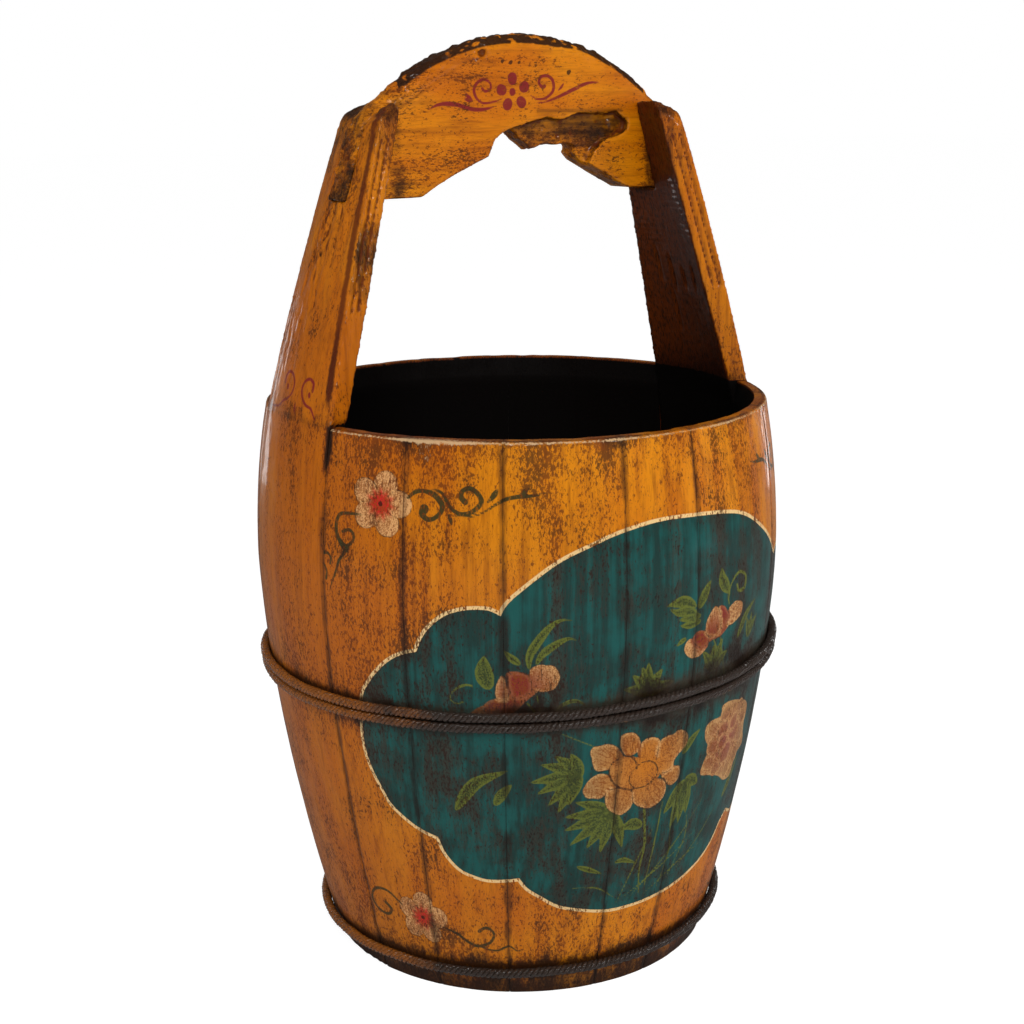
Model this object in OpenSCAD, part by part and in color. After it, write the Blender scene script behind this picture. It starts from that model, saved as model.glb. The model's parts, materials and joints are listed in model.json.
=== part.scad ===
// Staved wooden bucket with two tall handle staves, an arched grip board
// held in open slots, and twisted wire hoops.
// Millimetres, +Z up. The origin lies on the floor at the bucket's centre,
// the handle runs along X and the decorated side faces -Y.

/* [Barrel] */
// Height of the rim above the floor
rim_z = 339; // [300:1:400]
// Outer radius of the staves at the rim
rim_r = 151.5; // [140:0.5:158]
// Outer radius at the widest place
belly_r = 160.2; // [154:0.1:175]
// Height of the widest place
belly_z = 248; // [215:1:290]
// Outer radius on the floor
base_r = 119.8; // [105:0.1:135]
// How fast the side draws in towards the floor
belly_power = 1.6; // [1.3:0.1:2]
// Thickness of the staves
wall = 12; // [9:0.5:15]
// Thickness that the bevelled rim keeps
rim_t = 7; // [4:0.5:8]
// Height of the bevel inside the rim
rim_bevel = 14; // [6:1:24]
// Wear rounding on the rim's outer corner
rim_round = 2.4; // [1:0.1:4]
// Gap between one stave and the next
joint_gap = 0.15; // [0.05:0.05:0.4]

/* [Staves] */
// Angle that each handle stave takes of the ring, in degrees
upright_deg = 33.4; // [28:0.2:38]
// Relative widths of the front staves, left to right
front_widths = [19.6, 20, 24.4, 17, 32.3, 16.7, 16.6]; // [12:0.1:36]
// Relative widths of the back staves, right to left
back_widths = [25.3, 19.2, 24.5, 19.4, 19.4, 19.4, 19.4]; // [12:0.1:36]
// Radius of the pegs between the staves
peg_r = 2; // [1:0.25:3]
// Length of a peg
peg_len = 26; // [16:1:36]
// Height of the pegs above the floor
peg_z = 96; // [50:1:150]

/* [Bottom] */
// Thickness of the bottom boards
board_t = 12; // [8:0.5:18]
// Height of the bottom boards above the floor
board_z = 14; // [8:0.5:30]
// Depth of the groove that holds the bottom
croze_d = 4; // [2:0.5:6]

/* [Handle] */
// How far the handle staves lean inwards, in degrees
lean_deg = 16.75; // [12:0.25:19]
// How far their outer faces bow out between the rim and the top
upright_bow = 2; // [0.5:0.1:4]
// Thickness of the handle staves above the rim
upright_t = 13; // [10:0.5:18]
// How much each side of a handle stave closes in towards the top, in degrees
side_close = 0.4; // [0:0.1:1.5]
// How much the handle staves stand askew, the right forwards and the left back, in degrees
side_skew = 1.4; // [0:0.1:2]
// Radius of the handle staves' crowns, seen from the front
crown_r = 40; // [36:0.5:46]
// Distance of the crowns' centres from the bucket's middle
crown_x = 72.5; // [70:0.5:76]
// How far the crowns lie below the ends of the grip board
crown_step = 4; // [0.5:0.5:6]
// Corner rounding of the crowns, seen from the side
shoulder_r = 22; // [12:0.5:26]
// Width of the scooped flute in front of the slot
flute_w = 14; // [10:0.5:16]
// Depth of that flute
flute_d = 2.2; // [1:0.1:3]
// Radius of the round-bottomed splits in the left handle stave
split_r = 1.3; // [0.6:0.1:2]
// Width of the open joint beside the left handle stave
open_joint = 1.4; // [0.5:0.1:2.5]
// Radius of the grooves down the narrow sides
bead_r = 1.5; // [0.8:0.1:2]

/* [Grip board] */
// Height of the top of the arch above the rim
handle_h = 210.9; // [195:0.1:225]
// Height of the board from its lower corners to the top of the arch
bar_h = 91.4; // [85:0.1:105]
// Radius of the arch
bar_r = 148; // [130:1:175]
// How far the ends of the board lie below the top of the arch
end_drop = 31.9; // [28:0.1:36]
// How far the ends of the board stand out of the handle staves
end_proud = 1; // [0.2:0.1:2]
// Thickness of the board
bar_t = 19; // [14:0.5:24]
// Rounding of the worn top edge
bar_round = 8; // [4:0.5:9]
// How far the board's middle lies behind the handle's middle plane
bar_back = 5; // [0:0.5:8]
// How far the board is turned, left end forwards, in degrees
bar_yaw = 3.2; // [0:0.1:4]
// How far the arch's middle lies right of the bucket's middle
bar_shift = 6.8; // [0:0.1:10]
// Where the arch breaks down to its right end, right of the bucket's middle
break_x = 84.5; // [78:0.5:90]
// Depth of the broken place in the board's face
spall_d = 5.5; // [3:0.5:8]
// Radius of the small nicks along the worn top edge
nick_r = 1.7; // [0.8:0.1:2.5]
// Clearance between the board and its slots
slot_gap = 0.2; // [0.1:0.05:0.5]

/* [Hoops] */
// Height of the middle hoops
mid_z = 185; // [165:1:205]
// How much the middle hoops rise to one side
mid_rise = 4.5; // [0:0.5:6]
// Height of the base hoop
low_z = 16.5; // [13:0.5:30]
// How much the base hoop rises to one side
low_rise = 2.5; // [0:0.5:4]
// Radius of one twisted cable
cable_r = 3; // [2:0.1:4]
// Length along the cable of one full twist
lay = 24; // [20:1:40]

/* [Hidden] */

lacquer = [0.78, 0.47, 0.10];
dark_wood = [0.16, 0.10, 0.07];
wire = [0.10, 0.08, 0.07];

prof_n = 18;                       // steps of the barrel's curve
lean = tan(lean_deg);              // how far a handle stave leans per mm of height
rise_at = 329;                     // direction in which the hoops stand highest
sides = 5;                         // sides of a wire in a hoop
rings_per_lay = 5;                 // sections of a wire in one twist
strands = 2;
strand_r = cable_r / strands - 0.05;
arm_n = 12;                        // steps of the handle staves' bow
bar_top = rim_z + handle_h;
bar_low = bar_top - bar_h;
bar_cz = bar_top - bar_r;          // centre of the arch
end_z = bar_top - end_drop;        // top of the board's ends
shoulder_z = end_z - crown_step;   // top of the handle staves
peg_gap = 0.15;
cut = 400;                         // larger than anything that is cut away
open_joint_h = 42;                 // how far the open joint runs down
bead_h = 60;                       // how far above the rim the grooves end
flute_at = 0.62;                   // place of the flute between the slot and the edge
// Splits below the left slot: sideways and above the slot's floor, at each end
left_splits = [[5, -3, 17.5, -54], [-9.5, -3, -11.5, -36], [-1.5, -5, 3.8, -22],
    [2.8, -26.5, -2.6, -58]];
// Places where the bottom is divided, as shares of its radius
board_cuts = [-1, -0.32, 0.36, 1];
eps = 0.01;

function total(v, n) = n == 0 ? 0 : total(v, n - 1) + v[n - 1];

// Outer radius of the side at a height; above the rim it leans on as a cone
function outer_r(z) =
    z < belly_z ? belly_r - (belly_r - base_r) * pow((belly_z - z) / belly_z, belly_power)
    : z <= rim_z ? belly_r - (belly_r - rim_r) * pow((z - belly_z) / (rim_z - belly_z), 2)
    : rim_r - (z - rim_z) * lean;
function inner_r(z) = outer_r(z) - wall;

croze_r = inner_r(board_z) + croze_d;
bevel_z = rim_z - rim_bevel;
top_z = bar_top;                   // above the handle staves' crowns

// Heights of the barrel's section from the floor to the rim's rounding
function side_z(i) = (rim_z - rim_round) * i / prof_n;

outer_pts = [for (i = [0 : prof_n]) [outer_r(side_z(i)), side_z(i)]];
rim_pts = [
    [outer_r(rim_z - rim_round * 0.3) - rim_round * 0.3, rim_z - rim_round * 0.3],
    [rim_r - rim_round, rim_z],
    [rim_r - rim_t, rim_z],
    [inner_r(bevel_z), bevel_z]
];
inner_pts = [for (i = [prof_n : -1 : 0])
    let (z = side_z(i)) if (z < bevel_z - 1 && z > board_z + board_t + 1) [inner_r(z), z]];
croze_pts = [
    [inner_r(board_z + board_t), board_z + board_t + joint_gap],
    [croze_r, board_z + board_t + joint_gap],
    [croze_r, board_z - joint_gap],
    [inner_r(board_z), board_z - joint_gap],
    [inner_r(0), 0]
];
// Section of a plain stave, and of a handle stave below the rim
stave_pts = concat(outer_pts, rim_pts, inner_pts, croze_pts);
foot_pts = concat(outer_pts,
    [[rim_r, rim_z + eps], [rim_r - upright_t, rim_z + eps], [inner_r(bevel_z), bevel_z]],
    inner_pts, croze_pts);
// Outer radius of a handle stave above the rim, with its bow
function arm_r(z) =
    let (s = min(1, (z - rim_z) / (shoulder_z - rim_z)))
        outer_r(z) + 4 * upright_bow * s * (1 - s);
// Section of a handle stave above the rim
arm_pts = concat(
    [for (i = [0 : arm_n]) let (z = rim_z + (shoulder_z - rim_z) * i / arm_n) [arm_r(z), z]],
    [[outer_r(top_z), top_z], [outer_r(top_z) - upright_t, top_z], [rim_r - upright_t, rim_z]]);

// Places of the joints around the ring, in degrees anticlockwise from +X
half = upright_deg / 2;
span = 180 - upright_deg;
front_cuts = [for (i = [0 : len(front_widths)])
    180 + half + span * total(front_widths, i) / total(front_widths, len(front_widths))];
back_cuts = [for (i = [0 : len(back_widths)])
    half + span * total(back_widths, i) / total(back_widths, len(back_widths))];
all_cuts = concat(front_cuts, back_cuts);

// Half of the gap at a joint, as an angle
gap_deg = joint_gap / 2 / belly_r * 180 / PI;

// A slice of the ring from one joint to the next
module slice(a0, a1, pts) {
    rotate([0, 0, a0 + gap_deg])
        rotate_extrude(angle = a1 - a0 - 2 * gap_deg, $fn = 180) polygon(pts);
}

// Peg that crosses a joint, with extra radius and length for its hole
module peg(a, more = 0) {
    rotate([0, 0, a])
        translate([outer_r(peg_z) - wall / 2, peg_len / 2 + more, peg_z])
            rotate([90, 0, 0])
                cylinder(r = peg_r + more, h = peg_len + 2 * more, $fn = 24);
}

module plain_stave(a0, a1) {
    color(lacquer) difference() {
        slice(a0, a1, stave_pts);
        peg(a0, peg_gap);
        peg(a1, peg_gap);
    }
}

module front_stave(i) { plain_stave(front_cuts[i - 1], front_cuts[i]); }
module back_stave(i) { plain_stave(back_cuts[i - 1], back_cuts[i]); }

// Angle from upright of a handle stave's side above the rim; s is 1 on the
// right and -1 on the left, side is 1 at the back and -1 at the front
function side_tilt(s, side) = side_close + side_skew * side * s;

// Places something on a handle stave's side, with x away from the bucket's
// middle, y across the joint and z up from the rim
module on_side(s, side) {
    rotate([0, 0, side * (half - gap_deg)]) translate([0, 0, rim_z])
        rotate([side * side_tilt(s, side), 0, 0]) children();
}

// Outline of the part above the rim seen along X, with its rounded shoulders
module arm_front(s) {
    foot = rim_r * sin(half) + 1.5;
    z = shoulder_z - shoulder_r;
    c = [for (side = [-1, 1]) outer_r(z) * sin(half) + 0.3 - shoulder_r
        - (z - rim_z) * tan(side_tilt(s, side)) * cos(half)];
    polygon(concat(
        [[-foot, rim_z], [foot, rim_z]],
        [for (a = [0 : 15 : 90]) [c[1] + shoulder_r * cos(a), z + shoulder_r * sin(a)]],
        [for (a = [90 : 15 : 180]) [-c[0] + shoulder_r * cos(a), z + shoulder_r * sin(a)]]));
}

// A handle stave above the rim
module arm(s) {
    difference() {
        intersection() {
            rotate([0, 0, -half * 2])
                rotate_extrude(angle = half * 4, $fn = 180) polygon(arm_pts);
            rotate([90, 0, 90]) linear_extrude(cut) arm_front(s);
            union() {
                translate([crown_x, cut / 2, shoulder_z - crown_r]) rotate([90, 0, 0])
                    cylinder(r = crown_r, h = cut, $fn = 180);
                translate([0, -cut / 2, 0]) cube([cut, cut, shoulder_z - crown_r]);
            }
        }
        for (side = [-1, 1])
            on_side(s, side) translate([0, min(0, side * cut), -wall]) cube(cut);
    }
}

// A round tool from one point to another
module groove(p0, p1, r) {
    d = p1 - p0;
    translate(p0) rotate([0, acos(d[2] / norm(d)), atan2(d[1], d[0])]) {
        cylinder(r = r, h = norm(d), $fn = 36);
        translate([0, 0, norm(d)]) sphere(r = r, $fn = 36);
    }
}

// Radius of a round tool that scoops a flute of width w and depth d
function scoop_r(w, d) = (pow(w / 2, 2) + pow(d, 2)) / 2 / d;

// A flute that is deepest at the top and fades out above the rim
module flute(y, w, d) {
    r = scoop_r(w, d);
    z0 = rim_z + upright_t;
    z1 = shoulder_z - w / 2 - shoulder_r / 2;
    groove([arm_r(z0) + upright_bow + r - d / 4, y, z0], [arm_r(z1) + r - d, y, z1], r);
}

// Places something in the board's turned frame, seen from the handle stave at
// +X; s is 1 on the right and -1 on the left
module with_board(s) {
    translate([0, bar_back, 0]) rotate([0, 0, s * bar_yaw]) children();
}

// A split in the leaning face from [y, z] down to [y2, z2]
module split(s) {
    groove([arm_r(s[1]) - split_r / 3, s[0], s[1]], [arm_r(s[3]) - split_r / 3, s[2], s[3]], split_r);
}

// A handle stave at +X; s is 1 on the right and -1 on the left
module handle_stave(s, splits = []) {
    slot_y = bar_t / 2 + slot_gap;
    slot_front = bar_back + s * outer_r(shoulder_z) * tan(bar_yaw) - slot_y;
    edge_y = outer_r(shoulder_z) * sin(half);
    groove_z = rim_z + bead_h;
    color(lacquer) difference() {
        union() {
            slice(-half, half, foot_pts);
            arm(s);
        }
        // open slot for the grip board
        with_board(s) translate([0, -slot_y, bar_low - slot_gap]) cube([cut, 2 * slot_y, cut]);
        // scooped flute in front of the slot
        flute(slot_front - (slot_front + edge_y) * flute_at, flute_w, flute_d);
        // grooves that leave beads down each narrow side
        for (side = [-1, 1], k = [0.3, 0.66])
            on_side(s, side) translate([0, 0, -rim_z])
                groove([arm_r(groove_z) - upright_t * k, 0, groove_z],
                    [arm_r(shoulder_z - shoulder_r) - upright_t * k, 0, shoulder_z - shoulder_r],
                    bead_r);
        for (v = splits) split(v);
        if (len(splits) > 0)
            rotate([0, 0, -half]) translate([inner_r(rim_z) - wall, 0, 0]) rotate([90, 0, 90])
                linear_extrude(3 * wall)
                    polygon([[-eps, rim_z + 2], [open_joint, rim_z + 2], [-eps, rim_z - open_joint_h]]);
        peg(half, peg_gap);
        peg(-half, peg_gap);
    }
}

module right_upright() { handle_stave(1); }
module left_upright() {
    mirror([1, 0, 0]) handle_stave(-1, [for (s = left_splits)
        [s[0], bar_low + s[1], s[2], bar_low + s[3]]]);
}

module stave_pegs() {
    color(dark_wood) for (a = all_cuts) peg(a);
}

// The bottom is a disc cut into boards
module bottom_board(i) {
    y0 = board_cuts[i];
    y1 = board_cuts[i + 1];
    r = croze_r - slot_gap;
    color(dark_wood) intersection() {
        translate([0, 0, board_z]) cylinder(r = r, h = board_t, $fn = 180);
        translate([-cut / 2, r * y0 + joint_gap / 2, 0])
            cube([cut, r * (y1 - y0) - joint_gap, cut]);
    }
}

// Lower edge of the grip board, left to right; the right half is broken
bar_edge = [
    [-67, 0.4], [-57, 6.4], [-43.5, 12.8], [-28, 19.2], [-21.3, 21.9], [-18.9, 27], [-17, 31.5],
    [-11.7, 35], [-6.5, 37.6], [-1.4, 36.5], [4.8, 31], [9, 28.5], [12.6, 25.5], [18.3, 28],
    [29.7, 28.5], [43.2, 28], [44.2, 25.5], [43.2, 22.6], [47.3, 18.3], [60.3, 11.5], [72.8, 5.4],
    [82, 1]
];
nick_step = 4.4;                   // degrees from one nick to the next
knot_at = -13;                     // degrees from the top of the arch
knot_r = 3;
// Ragged outline of the broken place
spall_edge = [
    [-6.5, 20], [-5.5, 38], [7, 41], [20.3, 44], [30.7, 42.5], [44.2, 46.5], [57.7, 46], [72.3, 47],
    [81.7, 41], [80.7, 36], [72.3, 31.5], [63, 29.5], [55.6, 24], [49.4, 12], [39, 4]
];

// A round board with its worn, rounded edge; its centre is at x, z
module round_board(x, z, r) {
    h = bar_t / 2;
    translate([x, 0, z]) rotate([90, 0, 0]) rotate_extrude($fn = 180)
        polygon(concat(
            [[0, -h]],
            [for (a = [-90 : 15 : 0])
                [r - bar_round + bar_round * cos(a), -h + bar_round + bar_round * sin(a)]],
            [for (a = [0 : 15 : 90])
                [r - bar_round + bar_round * cos(a), h - bar_round + bar_round * sin(a)]],
            [[0, h]]));
}

// Outline of the board between its lower edge and its two ends
module board_outline() {
    ends = [for (i = [0 : 4]) bar_low + (end_z - bar_low) * i / 4];
    polygon(concat(
        [[-arm_r(bar_low) - end_proud, bar_low]],
        [for (p = bar_edge) [p[0], bar_low + p[1]]],
        [for (z = ends) [arm_r(z) + end_proud, z]],
        [[outer_r(top_z) + end_proud, top_z], [-outer_r(top_z) - end_proud, top_z]],
        [for (i = [4 : -1 : 1]) [-arm_r(ends[i]) - end_proud, ends[i]]]));
}

module grip_board() {
    break_z = bar_cz + sqrt(pow(bar_r, 2) - pow(break_x - bar_shift, 2));
    color(lacquer) with_board(1) difference() {
        intersection() {
            union() {
                difference() {
                    round_board(bar_shift, bar_cz, bar_r);
                    translate([break_x, 0, break_z]) rotate([0, 45, 0])
                        translate([-cut / 2, -cut / 2, 0]) cube(cut);
                }
                for (s = [-1, 1]) round_board(s * crown_x, end_z - crown_r, crown_r);
            }
            translate([0, cut / 2, 0]) rotate([90, 0, 0]) linear_extrude(cut) board_outline();
        }
        // small nicks and a knot in the worn top edge
        for (i = [-9 : 9], f = [-1, 1])
            translate([bar_shift, 0, bar_cz]) rotate([0, i * nick_step + f * 1.5, 0])
                translate([0, f * (bar_t / 2 - bar_round * 0.25), bar_r - bar_round * 0.25])
                    rotate([f * 45, 0, 0]) rotate([0, f * 35, 0])
                        cylinder(r = nick_r, h = 3 * bar_round, center = true, $fn = 16);
        translate([bar_shift, 0, bar_cz]) rotate([0, knot_at, 0])
            translate([0, -bar_t / 2 - 0.4, bar_r - bar_round - 0.7]) sphere(r = knot_r, $fn = 24);
        // the broken place in the front face
        translate([0, spall_d - bar_t / 2, bar_low]) rotate([90, 0, 0])
            linear_extrude(cut) polygon(spall_edge);
    }
}

// One wire of a hoop: a helix around the cable, which lies on the staves
module hoop_wire(z0, rise, phase) {
    turns = round(2 * PI * (outer_r(z0) + cable_r) / lay);
    n = turns * rings_per_lay;
    pts = [for (i = [0 : n - 1], k = [0 : sides - 1])
        let (a = 360 * i / n, b = 360 * turns * i / n + phase,
             zc = z0 + rise * cos(a - rise_at), c = 360 * k / sides,
             r = outer_r(zc) + cable_r + (cable_r - strand_r) * cos(b) + strand_r * cos(c),
             z = zc + (cable_r - strand_r) * sin(b) + strand_r * sin(c))
        [r * cos(a), r * sin(a), z]];
    faces = [for (i = [0 : n - 1], k = [0 : sides - 1], t = [0, 1])
        let (p = i * sides + k, q = i * sides + (k + 1) % sides,
             u = (i + 1) % n * sides + k, v = (i + 1) % n * sides + (k + 1) % sides)
        t == 0 ? [p, q, v] : [p, v, u]];
    polyhedron(points = pts, faces = faces);
}

module hoop(z0, rise) {
    color(wire) for (s = [0 : strands - 1]) hoop_wire(z0, rise, 360 * s / strands);
}

left_upright();
right_upright();
front_stave(1);  // front_stave_1
front_stave(2);  // front_stave_2
front_stave(3);  // front_stave_3
front_stave(4);  // front_stave_4
front_stave(5);  // front_stave_5
front_stave(6);  // front_stave_6
front_stave(7);  // front_stave_7
back_stave(1);  // back_stave_1
back_stave(2);  // back_stave_2
back_stave(3);  // back_stave_3
back_stave(4);  // back_stave_4
back_stave(5);  // back_stave_5
back_stave(6);  // back_stave_6
back_stave(7);  // back_stave_7
stave_pegs();
bottom_board(0);  // bottom_board_front
bottom_board(1);  // bottom_board_middle
bottom_board(2);  // bottom_board_back
grip_board();
hoop(mid_z + cable_r + joint_gap, mid_rise);  // middle_hoop_upper
hoop(mid_z - cable_r - joint_gap, mid_rise);  // middle_hoop_lower
hoop(low_z, low_rise);  // base_hoop
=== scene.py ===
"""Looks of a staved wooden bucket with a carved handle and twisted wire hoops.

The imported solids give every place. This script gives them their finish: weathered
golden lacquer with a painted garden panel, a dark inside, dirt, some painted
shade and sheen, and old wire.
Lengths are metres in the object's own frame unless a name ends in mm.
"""

import json
import logging
import math
from dataclasses import dataclass
from enum import Enum
from typing import Any, Callable, Dict, List, Optional, Sequence, Tuple, Union

import bpy
import numpy as np
from mathutils import Matrix, Vector

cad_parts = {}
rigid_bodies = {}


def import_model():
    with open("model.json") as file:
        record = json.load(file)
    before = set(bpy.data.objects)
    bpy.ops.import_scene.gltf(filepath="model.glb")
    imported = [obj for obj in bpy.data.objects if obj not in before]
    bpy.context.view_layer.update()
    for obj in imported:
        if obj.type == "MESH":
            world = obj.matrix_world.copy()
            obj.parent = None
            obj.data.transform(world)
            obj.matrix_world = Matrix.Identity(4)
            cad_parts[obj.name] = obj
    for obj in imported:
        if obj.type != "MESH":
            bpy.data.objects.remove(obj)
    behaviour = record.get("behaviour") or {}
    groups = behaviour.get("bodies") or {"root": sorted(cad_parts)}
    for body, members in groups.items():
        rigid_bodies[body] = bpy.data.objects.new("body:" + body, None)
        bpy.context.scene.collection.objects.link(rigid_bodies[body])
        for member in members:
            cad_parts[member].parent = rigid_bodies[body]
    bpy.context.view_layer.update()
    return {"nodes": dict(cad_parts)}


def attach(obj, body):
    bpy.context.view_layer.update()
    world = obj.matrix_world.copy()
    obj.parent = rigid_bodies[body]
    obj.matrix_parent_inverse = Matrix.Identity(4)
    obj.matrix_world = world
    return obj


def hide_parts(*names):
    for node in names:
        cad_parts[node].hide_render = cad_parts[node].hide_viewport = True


log = logging.getLogger("bucket")

Point = Tuple[float, float]
Place = Tuple[float, float, float]
Colour = Tuple[float, float, float, float]
Strokes = Tuple[Tuple[Tuple[Point, ...], Tuple[float, ...]], ...]

MM = 0.001
TINY = 1e-9
FAR_MM = 99.0
SEAM_REACH_MM = 8.0
FRONT = 270.0  # the painted side's direction, degrees anticlockwise from +X
PAINT_R = 156.0  # the barrel's mean radius on the painted side, millimetres


# --------------------------------------------------------------------------
# Shader expressions
# --------------------------------------------------------------------------
class Signal:
    """A socket whose value can be used in Python expressions."""

    def __init__(self, bench: "Bench", socket: bpy.types.NodeSocket) -> None:
        """Keeps the socket and the bench that it belongs to.

        Args:
            bench: The material being made.
            socket: The output socket to wrap.
        """
        self.bench = bench
        self.socket = socket

    def math(self, operation: str, *others: "Value") -> "Signal":
        """A Math node on this signal.

        Args:
            operation: The node's operation.
            others: The second and third values.

        Returns:
            The result.
        """
        values = dict(enumerate((self, *others)))
        return self.bench.node("ShaderNodeMath", {"operation": operation}, values)

    def __add__(self, other: "Value") -> "Signal":
        """Sum."""
        return self.math("ADD", other)

    def __sub__(self, other: "Value") -> "Signal":
        """Difference."""
        return self.math("SUBTRACT", other)

    def __rsub__(self, other: float) -> "Signal":
        """Difference from a number."""
        return self.math("MULTIPLY_ADD", -1.0, other)

    def __mul__(self, other: "Value") -> "Signal":
        """Product."""
        return self.math("MULTIPLY", other)

    def high(self, other: "Value") -> "Signal":
        """The larger of two."""
        return self.math("MAXIMUM", other)

    def band(self, start: float, end: float) -> "Signal":
        """A smooth step.

        Args:
            start: Where the result is 0.
            end: Where the result is 1.

        Returns:
            A value from 0 to 1.
        """
        return self.bench.node(
            "ShaderNodeMapRange",
            {"interpolation_type": "SMOOTHSTEP"},
            {"Value": self, "From Min": start, "From Max": end},
        )

    __radd__ = __add__
    __rmul__ = __mul__


Value = Union[Signal, float, Sequence[float]]


class Bench:
    """A material or a world that is being put together from nodes."""

    def __init__(self, name: str, world: bool = False) -> None:
        """Starts with no nodes.

        Args:
            name: Its name.
            world: Whether it is a world.
        """
        self.made = (bpy.data.worlds if world else bpy.data.materials).new(name)
        self.made.use_nodes = True
        self.out = "ShaderNodeOutputWorld" if world else "ShaderNodeOutputMaterial"
        self.tree = self.made.node_tree
        self.tree.nodes.clear()

    def node(
        self,
        kind: str,
        settings: Optional[Dict[str, Any]] = None,
        inputs: Optional[Dict[Union[int, str], Any]] = None,
        output: Union[int, str] = 0,
    ) -> Signal:
        """Adds a node.

        Args:
            kind: The node's type.
            settings: Its own settings, which are set first.
            inputs: Values or links of its sockets.
            output: The socket to hand back.

        Returns:
            The wanted output.
        """
        made = self.tree.nodes.new(kind)
        for key, value in (settings or {}).items():
            setattr(made, key, value)
        for key, value in (inputs or {}).items():
            if isinstance(value, Signal):
                self.tree.links.new(value.socket, made.inputs[key])
            else:
                made.inputs[key].default_value = value
        return Signal(self, made.outputs[output])

    def place(self) -> Signal:
        """The point's place on the object."""
        return self.node("ShaderNodeTexCoord", output="Object")

    def painted(self, name: str, colour: bool = False) -> Signal:
        """A value that the mesh carries.

        Args:
            name: The attribute.
            colour: Whether it is a colour.

        Returns:
            Its value here.
        """
        output = "Color" if colour else "Fac"
        return self.node("ShaderNodeAttribute", {"attribute_name": name}, output=output)

    def stretch(self, where: Signal, scale: Place) -> Signal:
        """Coordinates that are stretched along an axis."""
        return self.node("ShaderNodeMapping", {}, {"Vector": where, "Scale": scale})

    def noise(
        self, where: Signal, scale: float, detail: float = 2.0, rough: float = 0.5
    ) -> Signal:
        """Soft noise between 0 and 1.

        Args:
            where: The coordinates.
            scale: Cells per metre.
            detail: How many finer layers it has.
            rough: How strong they are.

        Returns:
            The noise.
        """
        values = {"Vector": where, "Scale": scale, "Detail": detail, "Roughness": rough}
        return self.node("ShaderNodeTexNoise", {}, values)

    def mix(self, factor: Value, first: Value, second: Value) -> Signal:
        """One colour over another.

        Args:
            factor: How much of the second shows.
            first: The colour below.
            second: The colour on top.

        Returns:
            The mixed colour.
        """
        values = {0: factor, 6: first, 7: second}
        return self.node("ShaderNodeMix", {"data_type": "RGBA"}, values, output=2)

    def finish(self, shader: Signal) -> Union[bpy.types.Material, bpy.types.World]:
        """Links the shader to the output.

        Args:
            shader: The last shader.

        Returns:
            The material or world.
        """
        out = self.tree.nodes.new(self.out)
        self.tree.links.new(shader.socket, out.inputs["Surface"])
        return self.made

    def surface(
        self,
        colour: Signal,
        rough: Signal,
        height: Signal,
        bump: Point,
        coat: Optional[Dict[str, Value]] = None,
    ) -> bpy.types.Material:
        """The last step of an object's finish.

        Args:
            colour: Its colour.
            rough: Its roughness.
            height: What stands up from it.
            bump: How strongly it stands up and how far, in metres.
            coat: The values of other sockets, by their names.

        Returns:
            The material.
        """
        raised = {"Strength": bump[0], "Distance": bump[1], "Height": height}
        values = {
            "Base Color": colour,
            "Roughness": rough,
            "Normal": self.node("ShaderNodeBump", {}, raised),
            **(coat or {}),
        }
        return self.finish(self.node("ShaderNodeBsdfPrincipled", {}, values))


def dye(red: int, green: int, blue: int) -> Colour:
    """A colour as it is seen, turned into light values.

    Args:
        red: From 0 to 255.
        green: From 0 to 255.
        blue: From 0 to 255.

    Returns:
        The linear colour.
    """
    parts = [c / 255 for c in (red, green, blue)]
    r, g, b = [c / 12.92 if c <= 0.04045 else ((c + 0.055) / 1.055) ** 2.4 for c in parts]
    return (r, g, b, 1.0)


PALE = dye(214, 164, 102)


# --------------------------------------------------------------------------
# Finishes
# --------------------------------------------------------------------------
class Grain(Enum):
    """Which way the wood's grain runs."""

    UPRIGHT = (1.0, 1.0, 0.1)
    ACROSS = (0.1, 1.0, 1.0)


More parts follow.
